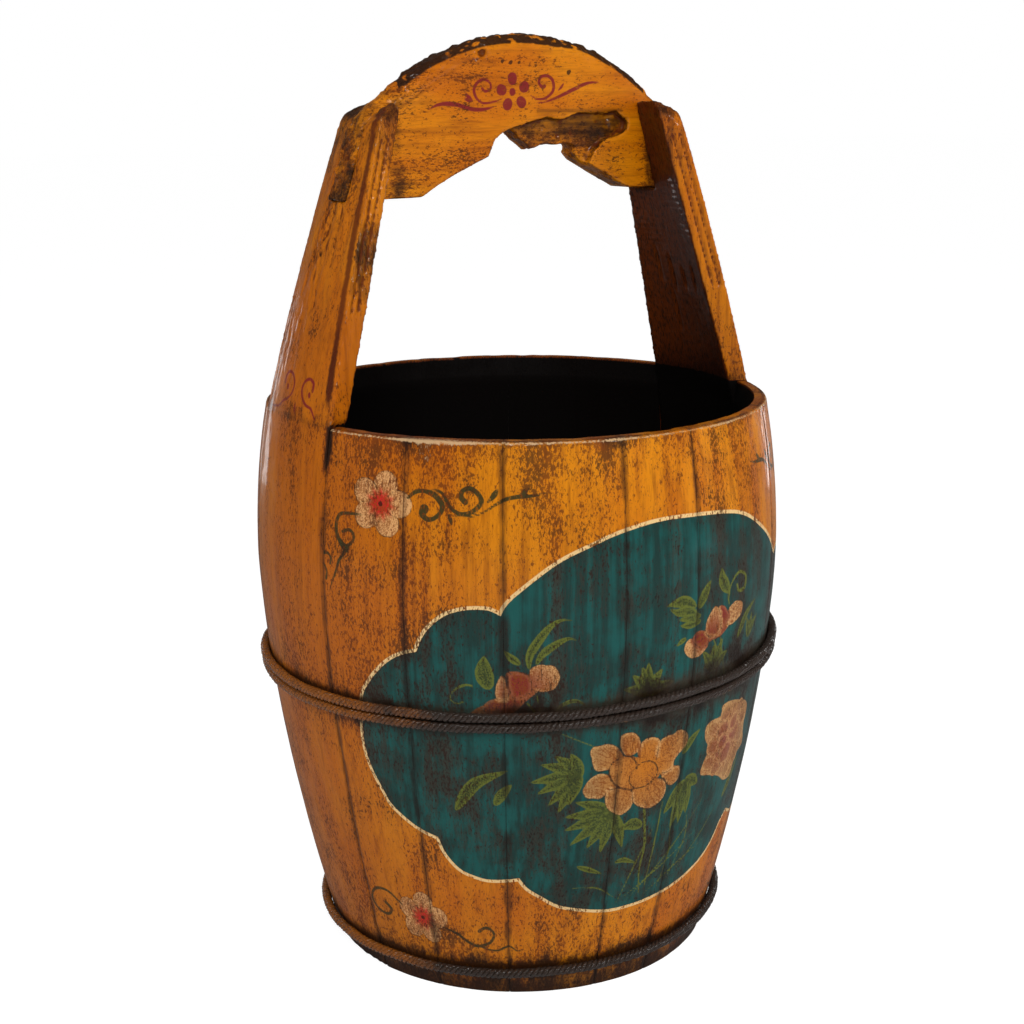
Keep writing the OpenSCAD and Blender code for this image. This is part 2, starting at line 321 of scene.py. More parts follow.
@dataclass(frozen=True)
class Lacquer:
    """Worn golden lacquer, with whatever is painted on it."""

    name: str
    grain: Grain = Grain.UPRIGHT
    gold: Colour = dye(216, 133, 6)
    amber: Colour = dye(191, 101, 2)
    tan: Colour = dye(166, 84, 2)
    brown: Colour = dye(126, 60, 4)
    speck: Colour = dye(88, 34, 6)
    # Dark dirt, also the colour of the painted shade in the board's broken place.
    grime_and_shade: Colour = dye(30, 17, 10)
    inside: Colour = dye(8, 5, 4)
    inner_face: Colour = dye(96, 40, 4)
    # Bare wood where rubbed, also the colour of the painted sheen and rim highlight.
    bare_and_sheen: Colour = dye(214, 176, 130)
    teal: Colour = dye(20, 80, 76)
    teal_deep: Colour = dye(24, 54, 50)
    smoke: Colour = dye(58, 48, 38)
    line: Colour = dye(226, 190, 132)
    leaf: Colour = dye(106, 112, 34)
    leaf_deep: Colour = dye(44, 52, 26)
    scroll: Colour = dye(48, 50, 24)
    red: Colour = dye(120, 26, 32)
    ink: Colour = dye(30, 18, 12)

    def material(self) -> bpy.types.Material:
        """Builds the finish.

        Returns:
            The material.
        """
        b = Bench(self.name)
        p = b.place()
        run, long_run, short_run = (
            b.stretch(p, tuple(a if a == 1.0 else share for a in self.grain.value))
            for share in (0.1, 0.035, 0.45)
        )
        broad = b.noise(p, 11.0, 3.0)
        patch = b.noise(p, 38.0, 4.0, 0.6)
        bands = b.noise(long_run, 75.0, 2.0, 0.5)
        streak = b.noise(long_run, 260.0, 3.0, 0.6)
        fibre = b.noise(run, 1000.0, 3.0, 0.6)
        dots = b.noise(short_run, 820.0, 3.0, 0.62)
        fine = b.noise(short_run, 1700.0, 2.0, 0.6)
        hatch = b.noise(p, 1100.0, 2.0, 0.7)
        grime_and_shade, seam, hollow, crowd, worn, dark = (
            b.painted(name) for name in ("grime_and_shade", "seam", "hollow", "crowd", "worn", "inside")
        )

        # golden ground
        colour = b.mix((broad * 0.6 + bands * 0.4).band(0.36, 0.62), self.gold, self.amber)
        colour = b.mix(b.painted("tone") * 0.85, colour, self.tan)
        colour = b.mix(streak.band(0.48, 0.72) * 0.5, colour, self.brown)
        colour = b.mix(fibre.band(0.45, 0.75) * 0.4, colour, self.brown)

        # painted panel
        wobble = (fine - 0.5) * 0.04 + (patch - 0.5) * 0.04
        panel = b.painted("panel") + wobble
        is_panel = panel.band(0.485, 0.515)
        outline = panel.band(0.28, 0.32) * (1 - is_panel)
        teal = b.mix((patch * 0.5 + streak * 0.5).band(0.38, 0.58), self.teal, self.teal_deep)
        smoky = (bands * 0.4 + fibre * 0.3 + patch * 0.3).band(0.46, 0.6)
        colour = b.mix(is_panel, colour, b.mix(smoky * 0.7, teal, self.smoke))
        colour = b.mix(outline * dots.band(0.68, 0.5), colour, self.line)

        def drawn(name: str, shake: float, low: float = 0.47, high: float = 0.53) -> Signal:
            """Where a paint layer covers the ground, with an unsteady edge."""
            return (b.painted(name) + wobble * shake).band(low, high)

        # leaves, petals, scrolls and their drawing
        leaf = b.painted("leaf") + wobble
        leaf_colour = b.mix(leaf.band(0.72, 0.56) * 0.6, self.leaf_deep, self.leaf)
        leaf_colour = b.mix(hatch.band(0.62, 0.42) * 0.7, leaf_colour, self.leaf)
        is_leaf, petal = drawn("leaf", 1.0), drawn("petal", 1.0)
        brushed = (hatch * 0.45 + fibre * 0.25 + patch * 0.3).band(0.46, 0.54) * 0.72
        tint = b.mix(brushed, b.painted("petal_colour", colour=True), self.brown)
        graze = drawn("graze", 0.7, 0.48, 0.53) * petal
        scroll = drawn("scroll", 0.6) * dots.band(0.72, 0.5)
        red = drawn("red", 0.6) * dots.band(0.76, 0.54)
        for cover, paint in (
            (is_leaf * 0.9, leaf_colour),
            (drawn("vein", 0.5) * 0.7, self.leaf_deep),
            (petal * 0.95, tint),
            (graze * 0.8, self.brown),
            (scroll * 0.95, self.scroll),
            (red * 0.94, self.red),
            (drawn("ink", 0.4, 0.46, 0.52) * 0.85, self.ink),
        ):
            colour = b.mix(cover, colour, paint)

        # specks, thicker where dirt gathers
        dense = crowd * 0.13 + (patch - 0.5) * 0.34 + (bands - 0.5) * 0.36 + grime_and_shade * 0.14
        dense = dense - is_panel * 0.03 - petal * 0.04 - 0.045
        spots = (dots + dense).band(0.56, 0.62).high((fine + dense * 0.8).band(0.61, 0.67) * 0.85)
        spot_colour = b.mix(patch.band(0.5, 0.68).high(is_panel * 0.85), self.speck, self.grime_and_shade)
        colour = b.mix(spots * 0.74, colour, spot_colour)

        # dirt by hoops, darker hollows, joints, painted shade and sheen, pale wear, the dark inside
        dirt = (grime_and_shade * 1.25 + (patch - 0.5) * 1.1 + (streak - 0.5) * 0.8).band(0.35, 0.95)
        panel_dirt = b.mix(patch.band(0.4, 0.6), self.smoke, self.grime_and_shade)
        halo = (seam.band(0.3, 1.0) * (streak + patch - 0.45)).band(0.22, 0.62)
        thin = seam.band(0.93, 0.985) * (0.12 + bands.band(0.42, 0.6) * 0.4 + grime_and_shade * 0.4)
        # Pale rubbed wear, which also carries the painted rim highlight and the painted sheen under
        # the rim.
        rubbed_and_sheen = (worn + (dots - 0.5) * 1.4 + (patch - 0.5) * 0.8).band(0.6, 0.95)
        dim = b.mix(fibre.band(0.4, 0.7), self.inner_face, self.grime_and_shade)
        for cover, paint in (
            (dirt * 0.88, b.mix(is_panel, self.grime_and_shade, panel_dirt)),
            (halo * 0.6, self.grime_and_shade),
            (thin, self.grime_and_shade),
            ((hollow + (patch - 0.5) * 0.5).band(0.3, 0.85) * 0.85, self.speck),
            # Dark top edge of the board, and a painted shadow under the broken place's edge.
            (b.painted("burn_and_shadow").band(0.2, 0.8) * 0.94, self.grime_and_shade),
            (rubbed_and_sheen * 0.75, self.bare_and_sheen),
            (dark.band(0.15, 0.5), dim),
            (dark.band(0.6, 0.9), self.inside),
        ):
            colour = b.mix(cover, colour, paint)

        rough = 0.42 + (patch - 0.5) * 0.3 + spots * 0.1 + dark * 0.25 - rubbed_and_sheen * 0.05
        height = fibre * 0.22 + dots * 0.3 + streak * 0.5 - spots * 0.3
        coat = {
            "Coat Weight": 0.36 - dark.band(0.3, 0.9) * 0.34,
            "Coat Roughness": 0.1,
            "Specular IOR Level": 0.18,
        }
        raised = height + petal * 0.12 + is_leaf * 0.12
        return b.surface(colour, rough, raised, (0.5, 0.0005), coat)


@dataclass(frozen=True)
class OldWire:
    """Dark twisted wire, lacquered over on one side of the bucket."""

    name: str = "old_wire"
    dark: Colour = dye(48, 38, 32)
    rust: Colour = dye(70, 38, 18)
    gold: Colour = dye(150, 84, 18)

    def material(self) -> bpy.types.Material:
        """Builds the finish.

        Returns:
            The material.
        """
        b = Bench(self.name)
        p = b.place()
        patch = b.noise(p, 60.0, 4.0, 0.6)
        grit = b.noise(p, 900.0, 3.0, 0.6)
        gilt = b.painted("gilt")
        colour = b.mix(grit.band(0.5, 0.75) * 0.7, self.dark, self.rust)
        colour = b.mix((gilt + (patch - 0.5) * 0.9).band(0.35, 0.8) * 0.8, colour, self.gold)
        colour = b.mix((grit + (patch - 0.5) * 0.5).band(0.52, 0.6) * 0.6, colour, self.dark)
        coat = {"Coat Weight": 0.8, "Coat Roughness": 0.06}
        return b.surface(colour, 0.2 + (patch - 0.5) * 0.3, grit, (0.9, 0.0007), coat)


@dataclass(frozen=True)
class DullWood:
    """Plain aged wood, for the bottom and the hidden pegs."""

    name: str
    light: Colour
    deep: Colour

    def material(self) -> bpy.types.Material:
        """Builds the finish.

        Returns:
            The material.
        """
        b = Bench(self.name)
        p = b.place()
        run = b.stretch(p, (0.08, 1.0, 1.0))
        fibre = b.noise(run, 420.0, 4.0, 0.6)
        patch = b.noise(p, 30.0, 3.0)
        colour = b.mix((fibre * 0.7 + patch * 0.3).band(0.38, 0.62), self.light, self.deep)
        return b.surface(colour, 0.6 + (patch - 0.5) * 0.2, fibre, (0.4, 0.0005))


# --------------------------------------------------------------------------
# Numbers: noise, curves and paint layers
# --------------------------------------------------------------------------
HASH = np.array((73856093, 19349663, 83492791))


def roughness_at(points: np.ndarray, size: float, seed: int) -> np.ndarray:
    """Seeded value noise.

    Args:
        points: Places, one row each.
        size: The size of a cell.
        seed: Which noise.

    Returns:
        A value from -1 to 1 for each place.
    """
    grid = points / size
    cell = np.floor(grid).astype(np.int64)
    part = grid - cell
    part = part * part * (3 - 2 * part)
    total = np.zeros(len(points))
    for corner in range(8):
        step = np.array([(corner >> k) & 1 for k in range(3)])
        h = (cell + step) @ HASH + seed * 2654435 & 0xFFFFFFFF
        h = ((h ^ (h >> 13)) * 1274126177) & 0xFFFFFFFF
        h = h ^ (h >> 16)
        total += np.prod(np.where(step, part, 1 - part), axis=1) * (h & 0xFFFF) / 65535
    return total * 2 - 1


def ramp(values: np.ndarray, start: float, length: float) -> np.ndarray:
    """Rises from 0 at a start to 1 a length further on, or falls where it is below 0."""
    return np.clip((values - start) / length, 0, 1)


def hump(values: np.ndarray, width: float, power: int = 2) -> np.ndarray:
    """1 at 0, falling away on both sides over about a width."""
    return np.exp(-((values / width) ** power))


def turned(angle: np.ndarray, home: float) -> np.ndarray:
    """Degrees from a direction, from -180 to 180."""
    return (angle - home + 180) % 360 - 180


def soft_curve(points: Sequence[Point], closed: bool = False, step: float = 1.0) -> np.ndarray:
    """A smooth curve through points.

    Args:
        points: The points.
        closed: Whether it comes back to its start.
        step: About how far apart the new points are.

    Returns:
        The new points, one row each.
    """
    p = np.array(points, float)
    n = len(p)
    if n < 3:
        return p
    made: List[np.ndarray] = []
    for i in range(n if closed else n - 1):
        q = [p[k % n] if closed else p[min(max(k, 0), n - 1)] for k in (i - 1, i, i + 1, i + 2)]
        count = max(2, int(np.linalg.norm(q[2] - q[1]) / step))
        for t in np.arange(count) / count:
            made.append(
                0.5
                * (
                    2 * q[1]
                    + (q[2] - q[0]) * t
                    + (2 * q[0] - 5 * q[1] + 4 * q[2] - q[3]) * t**2
                    + (3 * q[1] - q[0] - 3 * q[2] + q[3]) * t**3
                )
            )
    if not closed:
        made.append(p[-1])
    return np.array(made)


class Canvas:
    """Paint layers on a surface, each kept as the distance inside its edge.

    Places are in millimetres across and up the surface. A layer reaches from
    0, far outside a shape, over 0.5 on its edge to 1, well inside it.
    """

    REACH_MM = 5.0

    def __init__(self, across: np.ndarray, up: np.ndarray, shows: np.ndarray) -> None:
        """Starts a clean surface.

        Args:
            across: Each vertex's place across, in millimetres.
            up: Its place up.
            shows: Whether paint may lie there.
        """
        self.across, self.up, self.shows = across, up, shows
        self.layers: Dict[str, np.ndarray] = {}
        self.colour = np.zeros((len(across), 4))

    def layer(self, name: str) -> np.ndarray:
        """The layer of that name, made when it is first used."""
        return self.layers.setdefault(name, np.full(len(self.across), -self.REACH_MM))

    def near(self, points: np.ndarray, margin: float) -> np.ndarray:
        """The vertices close to some points.

        Args:
            points: The points.
            margin: How far around them.

        Returns:
            Their numbers.
        """
        lo, hi = points.min(0) - margin, points.max(0) + margin
        inside = (self.across > lo[0]) & (self.across < hi[0]) & (self.up > lo[1])
        return np.nonzero(inside & (self.up < hi[1]) & self.shows)[0]

    def beside(self, near: np.ndarray, a: np.ndarray, c: np.ndarray) -> Tuple[np.ndarray, ...]:
        """How some vertices lie beside a straight line.

        Args:
            near: The vertices' numbers.
            a: The line's start.
            c: Its end.

        Returns:
            The nearest place along it, from 0 to 1, and the distance to it.
        """
        x, y, d = self.across[near] - a[0], self.up[near] - a[1], c - a
        along = np.clip((x * d[0] + y * d[1]) / max(d @ d, TINY), 0, 1)
        return along, np.hypot(x - along * d[0], y - along * d[1])

    def stroke(
        self, name: str, points: Sequence[Point], widths: Sequence[float], soft: bool = True
    ) -> None:
        """A brush stroke.

        Args:
            name: The layer.
            points: The points that it runs through.
            widths: Its width along the way, spread evenly.
            soft: Whether it runs smoothly.
        """
        line = soft_curve(points) if soft else np.array(points, float)
        share = np.linspace(0, 1, len(line))
        half = np.interp(share, np.linspace(0, 1, len(widths)), np.array(widths) / 2)
        near = self.near(line, self.REACH_MM + half.max())
        if not len(near):
            return
        layer = self.layer(name)
        best = layer[near]
        for a, c, ra, rc in zip(line, line[1:], half, half[1:]):
            along, gap = self.beside(near, a, c)
            best = np.maximum(best, ra + (rc - ra) * along - gap)
        layer[near] = best

    def leaf(self, points: Sequence[Point], width: float) -> None:
        """A pointed leaf with its vein, over the leaves that are there.

        Args:
            points: From its stalk to its tip.
            width: Its width in the middle.
        """
        shape = (0.25, 0.75, 1.0, 0.95, 0.7, 0.35, 0.05)
        whole, vein, _ = (self.layer(name) for name in ("leaf", "vein", "fresh"))
        self.stroke("fresh", points, [width * s for s in shape])
        fresh = self.layers.pop("fresh")
        vein[:] = np.where(whole > 0.4, np.maximum(vein, 0.3 - np.abs(fresh)), vein)
        whole[:] = np.where(fresh > 0, fresh, np.maximum(whole, fresh))
        self.stroke("vein", points, [0.9, 1.0, 0.6])

    def depth(self, near: np.ndarray, outline: np.ndarray) -> np.ndarray:
        """How far some vertices lie inside a closed outline.

        Args:
            near: The vertices' numbers.
            outline: The outline's points.

        Returns:
            Millimetres, below 0 outside.
        """
        x, y = self.across[near], self.up[near]
        gap = np.full(len(near), FAR_MM)
        inside = np.zeros(len(near), bool)
        for a, c in zip(outline, np.roll(outline, -1, 0)):
            gap = np.minimum(gap, self.beside(near, a, c)[1])
            crosses = (a[1] > y) != (c[1] > y)
            side = (c[0] - a[0]) * (y - a[1]) / ((c - a)[1] or TINY) + a[0]
            inside ^= crosses & (x < side)
        return np.where(inside, gap, -gap)

    def area(self, name: str, outline: np.ndarray) -> None:
        """A filled shape.

        Args:
            name: The layer.
            outline: Its edge, a closed run of points.
        """
        near = np.nonzero(self.shows)[0]
        layer = self.layer(name)
        layer[near] = np.maximum(layer[near], self.depth(near, outline))

    def petal(
        self,
        outline: Sequence[Point],
        paint: Callable[[np.ndarray, np.ndarray], np.ndarray],
        line: float = 0.5,
        pale: float = 0.35,
    ) -> None:
        """A petal over what is already there, with a pale rim and a dark line.

        Args:
            outline: Points on its edge.
            paint: Gives colours for places across and up.
            line: How wide the dark line is.
            pale: How much lighter its rim is.
        """
        shape = soft_curve(outline, closed=True, step=1.3)
        near = self.near(shape, self.REACH_MM)
        if not len(near):
            return
        depth = self.depth(near, shape)
        petal, ink = self.layer("petal"), self.layer("ink")
        under = np.where(depth > 0, -self.REACH_MM, ink[near])
        ink[near] = np.maximum(under, line / 2 - np.abs(depth))
        rim = (pale * np.clip(1.9 - depth, 0, 1))[:, None]
        colour = paint(self.across[near], self.up[near]) * (1 - rim) + np.array(PALE) * rim
        self.colour[near] = np.where((depth > -1.5)[:, None], colour, self.colour[near])
        petal[near] = np.maximum(petal[near], depth)

    def hatch(self, outline: Sequence[Point], root: Point, count: int = 7) -> None:
        """Thin brown brush lines that run out to a petal's edge.

        Args:
            outline: Points on the petal's edge.
            root: Where the lines come from.
            count: How many there are.
        """
        edge = soft_curve(outline, closed=True, step=1.0)
        away = np.hypot(*(edge - root).T)
        far = edge[away > np.median(away)]
        graze = self.layer("graze")
        under = self.near(edge, 1.0)
        graze[under] = np.where(self.depth(under, edge) > 0, -self.REACH_MM, graze[under])
        for k in range(count):
            tip = far[int((k + 0.5) / count * len(far))]
            start = np.array(root) * (0.55 - 0.2 * (k % 2)) + tip * (0.45 + 0.2 * (k % 2))
            stop = np.array(root) * 0.07 + tip * 0.93
            self.stroke("graze", [tuple(start), tuple(stop)], (0.9, 1.5, 0.7), soft=False)

    def store(self, mesh: bpy.types.Mesh) -> None:
        """Writes the layers to a mesh.

        Args:
            mesh: The mesh that the vertices belong to.
        """
        for name, values in self.layers.items():
            write_value(mesh, name, values / (2 * self.REACH_MM) + 0.5)
        if self.colour.any():
            made = mesh.attributes.new("petal_colour", "FLOAT_COLOR", "POINT")
            made.data.foreach_set("color", self.colour.astype(np.float32).ravel())


def write_value(mesh: bpy.types.Mesh, name: str, values: np.ndarray) -> None:
    """Keeps a number per vertex on a mesh.

    Args:
        mesh: The mesh.
        name: What it is called.
        values: One number from 0 to 1 for each vertex.
    """
    made = mesh.attributes.get(name) or mesh.attributes.new(name, "FLOAT", "POINT")
    made.data.foreach_set("value", np.clip(values, 0, 1).astype(np.float32))


def triples(source: Any, name: str) -> np.ndarray:
    """Three numbers of each item, one row each."""
    flat = np.empty(len(source) * 3, np.float32)
    source.foreach_get(name, flat)
    return flat.reshape(-1, 3).astype(float)


def places(mesh: bpy.types.Mesh) -> np.ndarray:
    """The vertices' places, one row each."""
    return triples(mesh.vertices, "co")


def directions(mesh: bpy.types.Mesh) -> np.ndarray:
    """The vertices' normals, one row each."""
    return triples(mesh.vertex_normals, "vector")


def polar(p: np.ndarray) -> Tuple[np.ndarray, np.ndarray, np.ndarray]:
    """Each place's radius and height in millimetres and its angle in degrees."""
    angle = np.degrees(np.arctan2(p[:, 1], p[:, 0])) % 360
    return np.hypot(p[:, 0], p[:, 1]) / MM, p[:, 2] / MM, angle


def move_to(mesh: bpy.types.Mesh, points: np.ndarray) -> None:
    """Puts the vertices in new places."""
    mesh.vertices.foreach_set("co", points.astype(np.float32).ravel())
    mesh.update()


def hollowness(mesh: bpy.types.Mesh, rounds: int = 2) -> np.ndarray:
    """How far each vertex lies below its neighbours.

    Args:
        mesh: The mesh.
        rounds: How often the result is smoothed.

    Returns:
        Metres, above 0 in hollows and below 0 on edges.
    """
    pairs = np.empty(len(mesh.edges) * 2, np.int32)
    mesh.edges.foreach_get("vertices", pairs)
    a, c = pairs.reshape(-1, 2).T
    p, n = places(mesh), directions(mesh)
    count = np.bincount(np.r_[a, c], minlength=len(p)).clip(1)

    def spread(values: np.ndarray) -> np.ndarray:
        """The mean over each vertex's neighbours."""
        return (np.bincount(a, values[c], len(p)) + np.bincount(c, values[a], len(p))) / count

    mean = np.stack([spread(p[:, k]) for k in range(3)], 1)
    for _ in range(rounds):
        mean = np.stack([spread(mean[:, k]) for k in range(3)], 1)
    depth = ((mean - p) * n).sum(1)
    for _ in range(rounds):
        depth = 0.5 * depth + 0.5 * spread(depth)
    return depth


# --------------------------------------------------------------------------
# Operators
# --------------------------------------------------------------------------
def deselect() -> None:
    """Leaves nothing selected."""
    if bpy.context.object and bpy.context.object.mode != "OBJECT":
        bpy.ops.object.mode_set(mode="OBJECT")
    bpy.ops.object.select_all(action="DESELECT")


def take(piece: bpy.types.Object) -> None:
    """Makes a piece the only one selected."""
    deselect()
    piece.select_set(True)
    bpy.context.view_layer.objects.active = piece


def edit(piece: bpy.types.Object, *steps: Callable[[], Any]) -> None:
    """Runs steps in edit mode with all of the piece selected.

    Args:
        piece: The piece.
        steps: What to do.
    """
    take(piece)
    bpy.ops.object.mode_set(mode="EDIT")
    bpy.ops.mesh.select_all(action="SELECT")
    for step in steps:
        step()
    bpy.ops.object.mode_set(mode="OBJECT")


def modify(piece: bpy.types.Object, kind: str, **settings: Any) -> None:
    """Adds a modifier and applies it.

    Args:
        piece: The piece.
        kind: The modifier's type.
        settings: Its settings.
    """
    take(piece)
    made = piece.modifiers.new(kind.lower(), kind)
    for key, value in settings.items():
        setattr(made, key, value)
    bpy.ops.object.modifier_apply(modifier=made.name)


def dress(piece: bpy.types.Object, finish: bpy.types.Material, node: str) -> None:
    """Gives a piece its finish and its place in the frame.

    Args:
        piece: The piece.
        finish: Its material.
        node: The solid that it stands for.
    """
    piece.data.materials.clear()
    piece.data.materials.append(finish)
    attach(piece, "root")
    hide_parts(node)
    log.info("%s: %d vertices", piece.name, len(piece.data.vertices))


# --------------------------------------------------------------------------
# The barrel's form
# --------------------------------------------------------------------------
@dataclass
class Barrel:
    """The barrel's curve and its joints, in millimetres and degrees."""

    rim_z: float = 339.0
    rim_r: float = 151.5
    belly_r: float = 160.2
    belly_z: float = 248.0
    base_r: float = 119.8
    power: float = 1.6
    wall: float = 12.0
    rim_t: float = 7.0
    bevel: float = 14.0
    rim_round: float = 2.4
    board_z: float = 14.0
    board_t: float = 12.0
    croze: float = 4.0
    gap: float = 0.15
    upright: float = 33.4
    lean: float = 16.75
    bow: float = 2.0
    arm_top: float = 514.0
    front: Tuple[float, ...] = (19.6, 20, 24.4, 17, 32.3, 16.7, 16.6)
    back: Tuple[float, ...] = (25.3, 19.2, 24.5, 19.4, 19.4, 19.4, 19.4)
    hoops: Tuple[Tuple[float, float], ...] = ((188.15, 4.5), (181.85, 4.5), (16.5, 2.5))
    hoop_r: float = 3.0
    rise_at: float = 329.0
    dirtiest: float = 285.0
    open_joint: float = 196.7
    brown_at: Tuple[int, ...] = (-180, -110, -70, -48, -15, 20, 80, 180)
    brown: Tuple[float, ...] = (0.6, 0.8, 0.75, 0.4, 0.15, 0.1, 0.3, 0.6)

    def outer(self, z: np.ndarray) -> np.ndarray:
        """The outside's radius at a height."""
        z = np.asarray(z, float)
        below = np.clip(self.belly_z - z, 0, None) / self.belly_z
        above = (z - self.belly_z) / (self.rim_z - self.belly_z)
        low = self.belly_r - (self.belly_r - self.base_r) * below**self.power
        high = self.belly_r - (self.belly_r - self.rim_r) * above**2
        s = ramp(z, self.rim_z, self.arm_top - self.rim_z)
        arm = self.rim_r - (z - self.rim_z) * math.tan(math.radians(self.lean))
        arm = arm + 4 * self.bow * s * (1 - s)
        return np.where(z < self.belly_z, low, np.where(z <= self.rim_z, high, arm))

    def joints(self) -> Dict[str, Tuple[float, float]]:
        """Each plain stave's two joints.

        Returns:
            Angles anticlockwise from +X, by the solid's name.
        """
        half, made = self.upright / 2, {}
        for side, widths, start in (("front", self.front, 180 + half), ("back", self.back, half)):
            ends = start + (180 - 2 * half) * np.cumsum((0, *widths)) / sum(widths)
            for i, (a, c) in enumerate(zip(ends, ends[1:])):
                made[f"{side}_stave_{i + 1}"] = (float(a), float(c))
        return made

    def section(self, cell: float) -> np.ndarray:
        """The outline of a stave's section.

        Args:
            cell: How close its points lie on the outside.

        Returns:
            Radius and height of each point, running up the outside first.
        """
        top = self.rim_z - self.rim_round
        z = np.linspace(0, top, int(top / cell))
        turn = np.radians(np.linspace(15, 90, 6))
        edge, start = self.rim_r - self.rim_round, self.rim_r - self.rim_t
        flat = np.linspace(edge, start, 6)[1:]
        low = self.rim_z - self.bevel
        share = np.linspace(0, 1, 9)[1:]
        inner = self.outer(low) - self.wall
        floor = self.board_z + self.board_t
        wall_z = np.linspace(low, floor + 0.2, 60)[1:]
        board_r = self.outer(self.board_z) - self.wall
        groove = (
            (board_r + self.croze, floor + self.gap),
            (board_r + self.croze, self.board_z - self.gap),
            (board_r, self.board_z - self.gap),
            (self.outer(0) - self.wall, 0),
        )
        round_r = edge + (self.outer(top) - edge) * np.cos(turn)
        parts = (
            np.c_[self.outer(z), z],
            np.c_[round_r, top + self.rim_round * np.sin(turn)],
            np.c_[flat, np.full(5, self.rim_z)],
            np.c_[start + (inner - start) * share, self.rim_z - self.bevel * share],
            np.c_[self.outer(wall_z) - self.wall, wall_z],
            np.array(groove, float),
        )
        return np.concatenate(parts)

    def hoop_z(self, hoop: int, angle: np.ndarray) -> np.ndarray:
        """The height of a hoop.

        Args:
            hoop: Which one.
            angle: Degrees anticlockwise from +X.

        Returns:
            Millimetres.
        """
        z, rise = self.hoops[hoop]
        return z + rise * np.cos(np.radians(np.asarray(angle) - self.rise_at))

    def joint_distance(self, angle: np.ndarray, z: np.ndarray) -> np.ndarray:
        """How far a place is from the nearest joint, in millimetres."""
        ends = {round(a, 4) for pair in self.joints().values() for a in pair}
        gap = np.min([np.abs(turned(angle, end)) for end in ends], axis=0)
        return np.radians(gap) * self.outer(z)

    def soil(self, angle: np.ndarray, z: np.ndarray) -> np.ndarray:
        """How dirty the outside is.

        Args:
            angle: Degrees anticlockwise from +X.
            z: Height in millimetres.

        Returns:
            From 0, clean, to 1.
        """
        mid = self.hoop_z(0, angle) - 3.1
        front = np.clip(1.1 - np.abs(turned(angle, self.dirtiest)) / 60, 0.25, 1)
        beside = np.clip(np.abs(z - mid) - 6, 0, None)
        base = np.clip(np.abs(z - self.hoop_z(2, angle)) - 3, 0, None)
        rim = np.clip(self.rim_z - z, 0, None)
        layers = (
            (0.55 + 0.5 * front) * np.exp(-beside / (4 + 9 * front)),
            0.9 * np.exp(-base / 9),
            0.85 * ramp(z, 22, -22) ** 0.5,
            0.95 * hump(turned(angle, self.open_joint), 1.2) * ramp(z, 308, 14),
            0.5 * np.exp(-rim / 5) * (z <= self.rim_z + 1),
        )
        return np.max(layers, axis=0)

    def tone(self, across: np.ndarray) -> np.ndarray:
        """How brown the lacquer is, from 0 to 1, by degrees right of the front's middle."""
        return np.interp(across, self.brown_at, self.brown)

    def crowd(self, across: np.ndarray, z: np.ndarray) -> np.ndarray:
        """How thickly the outside is flecked.

        Args:
            across: Degrees right of the front's middle.
            z: Height in millimetres.

        Returns:
            From 0, hardly, to 1.
        """
        total = 0.3 + 0.36 * hump(across + 52, 16) * np.clip((z - 150) / 60, 0.2, 1)
        total -= 0.35 * hump(np.abs(across) - 90, 15) * ramp(z, 215, 30)
        total += 0.3 * hump(across + 12, 8) * ramp(z, 240, 40)
        total += 0.35 * np.exp(-((self.rim_z - z) / 18)) * (z < self.rim_z)
        return np.clip(total + 0.3 * np.exp(-z / 30), 0, 1)


# --------------------------------------------------------------------------
# The painting
# --------------------------------------------------------------------------
PER_DEGREE = math.radians(1) * PAINT_R


def on_barrel(points: Sequence[Point], mirror: Optional[float] = None) -> List[Point]:
    """Turns angle and height into places on the painted side.

    Args:
        points: Degrees right of the front's middle and millimetres up.
        mirror: The angle about which they are mirrored, if they are.

    Returns:
        Millimetres across and up.
    """
    turn = [(2 * mirror - a, z) for a, z in points] if mirror is not None else points
    return [(a * PER_DEGREE, z) for a, z in turn]


def rounded(centre: Point, radius: Point, turn: float = 0.0) -> List[Point]:
    """An oval outline.

    Args:
        centre: Its middle.
        radius: Its half length and half width.
        turn: The direction of its length, in degrees.

    Returns:
        Points on it.
    """
    a, c = np.radians(np.arange(0, 360, 36)), math.radians(turn)
    u, v = radius[0] * np.cos(a), radius[1] * np.sin(a)
    x = centre[0] + u * math.cos(c) - v * math.sin(c)
    y = centre[1] + u * math.sin(c) + v * math.cos(c)
    return list(zip(x, y))


def wash(inner: Colour, outer: Colour, centre: Point, reach: float) -> Callable[..., np.ndarray]:
    """A colour that changes outwards from a flower's heart.

    Args:
        inner: The colour at the heart.
        outer: The colour far from it.
        centre: The heart's place.
        reach: How far the change takes.

    Returns:
        A function from places to colours.
    """

    def paint(x: np.ndarray, y: np.ndarray) -> np.ndarray:
        """The colour at each place."""
        t = np.clip(np.hypot(x - centre[0], y - centre[1]) / reach, 0, 1)[:, None] ** 1.5
        return np.array(inner) * (1 - t) + np.array(outer) * t

    return paint


